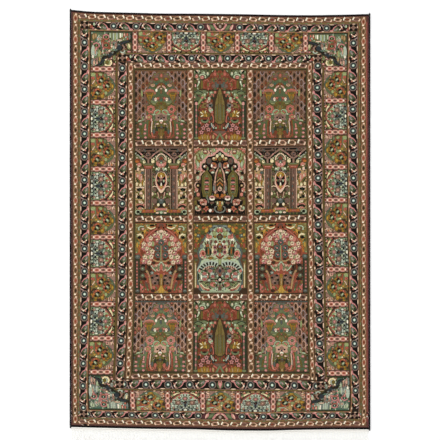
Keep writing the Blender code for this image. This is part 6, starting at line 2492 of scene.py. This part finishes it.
SEAM = 0.0003
STRIP_DEEP = 0.014
BAND_HEIGHT, BAND_DOME = 0.0055, 0.0014
STRIP_HEIGHT, STRIP_DOME = 0.0024, 0.0004
TOP_BAND_EDGES = edge_points("end_band_top", True), edge_points("end_band_top", False)
BOTTOM_BAND_EDGES = edge_points("end_band_bottom", True), edge_points("end_band_bottom", False)
STRIP_EDGE = moved_edge(BOTTOM_BAND_EDGES[1], -SEAM)
STRIP_ROOT = moved_edge(STRIP_EDGE, -STRIP_DEEP)
BANDS_MADE = [
    make_band("end_band_top_weave", *TOP_BAND_EDGES, 380, 6, BAND_HEIGHT, BAND_DOME,
              BAND_WOOL, "end_weave", "end_band_top"),
    make_band("end_band_bottom_weave", *BOTTOM_BAND_EDGES, 380, 6, BAND_HEIGHT, BAND_DOME,
              BAND_WOOL, "end_weave", "end_band_bottom"),
    make_band("pale_strip", STRIP_EDGE, STRIP_ROOT, 300, 6, STRIP_HEIGHT, STRIP_DOME,
              STRIP_COTTON, "fringe", "fringe_bottom"),
]


# %% [markdown]
# A twined cord is worked across the strip to keep the wefts from sliding off, and past it the warps
# hang free: that is the fringe. It lies flat on the floor in small locks that lean together. Each
# lock is six thin yarns, drawn as four-sided tubes that run from the strip's edge to the tip.

# %% Twined cord and fringe
TWINE_DOWN = 0.0075  # from the dark band
TWINE_RADIUS = 0.0009
TWINE_INSET = 0.002
TWINE_STEPS = 420


def make_twine():
    """A thin twisted cord that follows the strip's edge, lying on the strip."""
    shape = bpy.data.curves.new("twine", "CURVE")
    shape.dimensions = "3D"
    shape.bevel_depth = TWINE_RADIUS
    shape.bevel_resolution = 1
    shape.use_fill_caps = True
    left, right = STRIP_EDGE[0][0] + TWINE_INSET, STRIP_EDGE[-1][0] - TWINE_INSET
    run = shape.splines.new("POLY")
    run.points.add(TWINE_STEPS)
    for step, point in enumerate(run.points):
        x = left + (right - left) * step / TWINE_STEPS
        y = read_edge(STRIP_EDGE, x) - TWINE_DOWN + 0.0003 * math.sin(step * 1.1)
        z = STRIP_HEIGHT + TWINE_RADIUS * 0.8 + 0.00025 * math.sin(step * 1.9)
        point.co = (x, y, z, 1.0)
        point.radius = 1.0 + 0.18 * math.sin(step * 2.4)
    select_only(new_object("twine", shape))
    bpy.ops.object.convert(target="MESH")
    return finish_piece(bpy.context.object, "twined_cord", TWINE_COTTON, "fringe", "fringe_bottom")


LOCKS = 200
LOCK_LENGTH = 0.069
LOCK_SPREAD = 0.006  # how far their lengths differ
LOCK_LEAN = 0.007
BUNDLE = 0.0013  # how far a lock's yarns lie from its middle
FRAY = 0.0022  # and how far their tips part
TUCK = 0.003  # how far they start inside the strip
LOCK_LEVEL = 0.0014  # the height of a lock's middle
FRINGE_REACH = 0.7612  # no yarn leans past the rug's side
YARNS_IN_LOCK = 6
YARN_RADIUS = 0.00062
YARN_STEPS = 6


def yarn_tube(points, radius):
    """The corners and faces of a thin four-sided tube along the points."""
    corners, faces = [], []
    last = len(points) - 1
    for at, (x, y, z) in enumerate(points):
        girth = radius * (1.0 if at < last else 0.45)
        corners += [(x - girth, y, z), (x, y, z - girth), (x + girth, y, z), (x, y, z + girth)]
    for at in range(last):
        for k in range(4):
            a, b = 4 * at + k, 4 * at + (k + 1) % 4
            faces.append((a, b, b + 4, a + 4))
    faces.append((3, 2, 1, 0))
    faces.append(tuple(4 * last + k for k in range(4)))
    return corners, faces


def make_fringe():
    """All the locks as one mesh of thin tubes."""
    picks = random.Random(23)
    left, right = STRIP_EDGE[0][0], STRIP_EDGE[-1][0]
    pitch = (right - left) / LOCKS
    corners, faces = [], []
    for lock in range(LOCKS):
        root_x = left + (lock + 0.5) * pitch
        root_y = read_edge(STRIP_ROOT, root_x)
        length = LOCK_LENGTH + LOCK_SPREAD * picks.uniform(-1, 0.9)
        lean = LOCK_LEAN * (0.6 * math.sin(lock / 9.0) + 0.4 * math.sin(lock / 5.3 + 1.0))
        turns = picks.uniform(1.2, 2.4) * picks.choice((-1, 1))
        start = picks.uniform(0, FULL_TURN)
        for yarn in range(YARNS_IN_LOCK):
            own = (yarn + 0.5) / YARNS_IN_LOCK - 0.5
            reach = length * picks.uniform(0.86, 1.0)
            fray = picks.uniform(-1, 1) * FRAY
            points = []
            for step in range(YARN_STEPS + 1):
                share = step / YARN_STEPS
                twist = start + turns * FULL_TURN * share + yarn * FULL_TURN / YARNS_IN_LOCK
                gathered = min(1.0, share * 3.0)
                spread = pitch * own * (1 - gathered)
                bundle = BUNDLE * gathered
                x = root_x + spread + lean * share**1.6 + bundle * math.cos(twist) + fray * share**3
                x = min(max(x, -FRINGE_REACH), FRINGE_REACH)
                y = root_y + TUCK - (reach + TUCK) * share
                z = LOCK_LEVEL + (bundle * 0.62) * math.sin(twist) * (1 - 0.4 * share)
                points.append((x, y, max(z, YARN_RADIUS)))
            tube, sides = yarn_tube(points, YARN_RADIUS)
            shift = len(corners)
            corners += tube
            faces += [tuple(shift + k for k in face) for face in sides]
    mesh = bpy.data.meshes.new("fringe")
    mesh.from_pydata(corners, [], faces)
    fringe = new_object("fringe", mesh)
    select_only(fringe)
    bpy.ops.object.mode_set(mode="EDIT")
    bpy.ops.mesh.select_all(action="SELECT")
    bpy.ops.mesh.normals_make_consistent(inside=False)
    bpy.ops.object.mode_set(mode="OBJECT")
    bpy.ops.object.shade_smooth()
    return finish_piece(fringe, "fringe_yarns", FRINGE_COTTON, "fringe", "fringe_bottom")


TWINE = make_twine()
FRINGE = make_fringe()


# %% [markdown]
# Now the rug itself: the drawing is triangulated and laid on the floor as two closed parts of pile,
# the border and the panels inside it, which meet along a dark guard line.

BORDER, PANELS_DRAWN = draw_border(), draw_panels()
print("the drawings have", len(BORDER.shapes), "and", len(PANELS_DRAWN.shapes), "shapes")
BORDER_PILE = build_pile("pile_border", BORDER.shapes, draw_border_back().shapes)
FIELD_SHADE = 0.93  # the field's wool was dyed a little deeper than the border's
PANEL_PILE = build_pile("pile_panels", PANELS_DRAWN.shapes, draw_panel_backs().shapes, FIELD, FIELD_SHADE)
for part in (BORDER_PILE, PANEL_PILE):
    finish_piece(part, part.name, PILE_WOOL, "pile", "pile_field")


# %% [markdown]
# The photo looks straight down. The camera stands high over the rug with a long lens, so that the
# sides stay parallel, and is centred on the photo's own middle, which isn't quite the rug's. The
# floor is pale and the light is soft and nearly even, with one lamp lower and to the side, so that
# the knots keep a little relief.

# %% Floor, camera and light
PHOTO_PIXELS = 440
PHOTO_SIDE = PHOTO_PIXELS * PHOTO_PIXEL
LENS = 85.0
SENSOR = 36.0
PHOTO_MIDDLE = (220.0, 220.0)  # pixels
RUG_MIDDLE = (220.0, 222.1)
FLOOR_SIZE = 40.0
FLOOR_SHADE = 0.93
WORLD_LIGHT = 0.90
KEY_POWER = 146.0
OVERHEAD_POWER = 92.0

bpy.ops.mesh.primitive_plane_add(size=FLOOR_SIZE, location=(0, 0, -0.0005))
floor = bpy.context.object
floor.name = "floor"
paper_white, _, floor_surface = new_material("floor_white", 0.9, 0.0)
floor_surface.inputs["Base Color"].default_value = (FLOOR_SHADE, FLOOR_SHADE, FLOOR_SHADE, 1.0)
floor_surface.inputs["Specular IOR Level"].default_value = 0.0
floor.data.materials.append(paper_white)

camera_data = bpy.data.cameras.new("camera")
camera_data.lens = LENS
camera_data.sensor_width = SENSOR
camera_data.clip_end = 60.0
camera = new_object("camera", camera_data)
camera.location = (
    (PHOTO_MIDDLE[0] - RUG_MIDDLE[0]) * PHOTO_PIXEL,
    (RUG_MIDDLE[1] - PHOTO_MIDDLE[1]) * PHOTO_PIXEL,
    PILE_HEIGHT + PHOTO_SIDE * LENS / SENSOR,
)
bpy.context.scene.camera = camera

world = bpy.data.worlds.new("studio")
bpy.context.scene.world = world
world.use_nodes = True
sky = world.node_tree.nodes["Background"]
sky.inputs["Color"].default_value = (1.0, 1.0, 1.0, 1.0)
sky.inputs["Strength"].default_value = WORLD_LIGHT


def soft_lamp(name, location, size, power):
    """A square lamp that points at the middle of the rug."""
    lamp = bpy.data.lights.new(name, "AREA")
    lamp.shape = "SQUARE"
    lamp.size = size
    lamp.energy = power
    stand = new_object(name, lamp)
    stand.location = location
    stand.rotation_euler = (-Vector(location)).to_track_quat("-Z", "Y").to_euler()


soft_lamp("key", (-4.5, 3.5, 4.2), 3.0, KEY_POWER)
soft_lamp("overhead", (0.0, 0.0, 7.0), 5.0, OVERHEAD_POWER)
bpy.context.scene.view_settings.view_transform = "Standard"
bpy.context.scene.view_settings.look = "None"
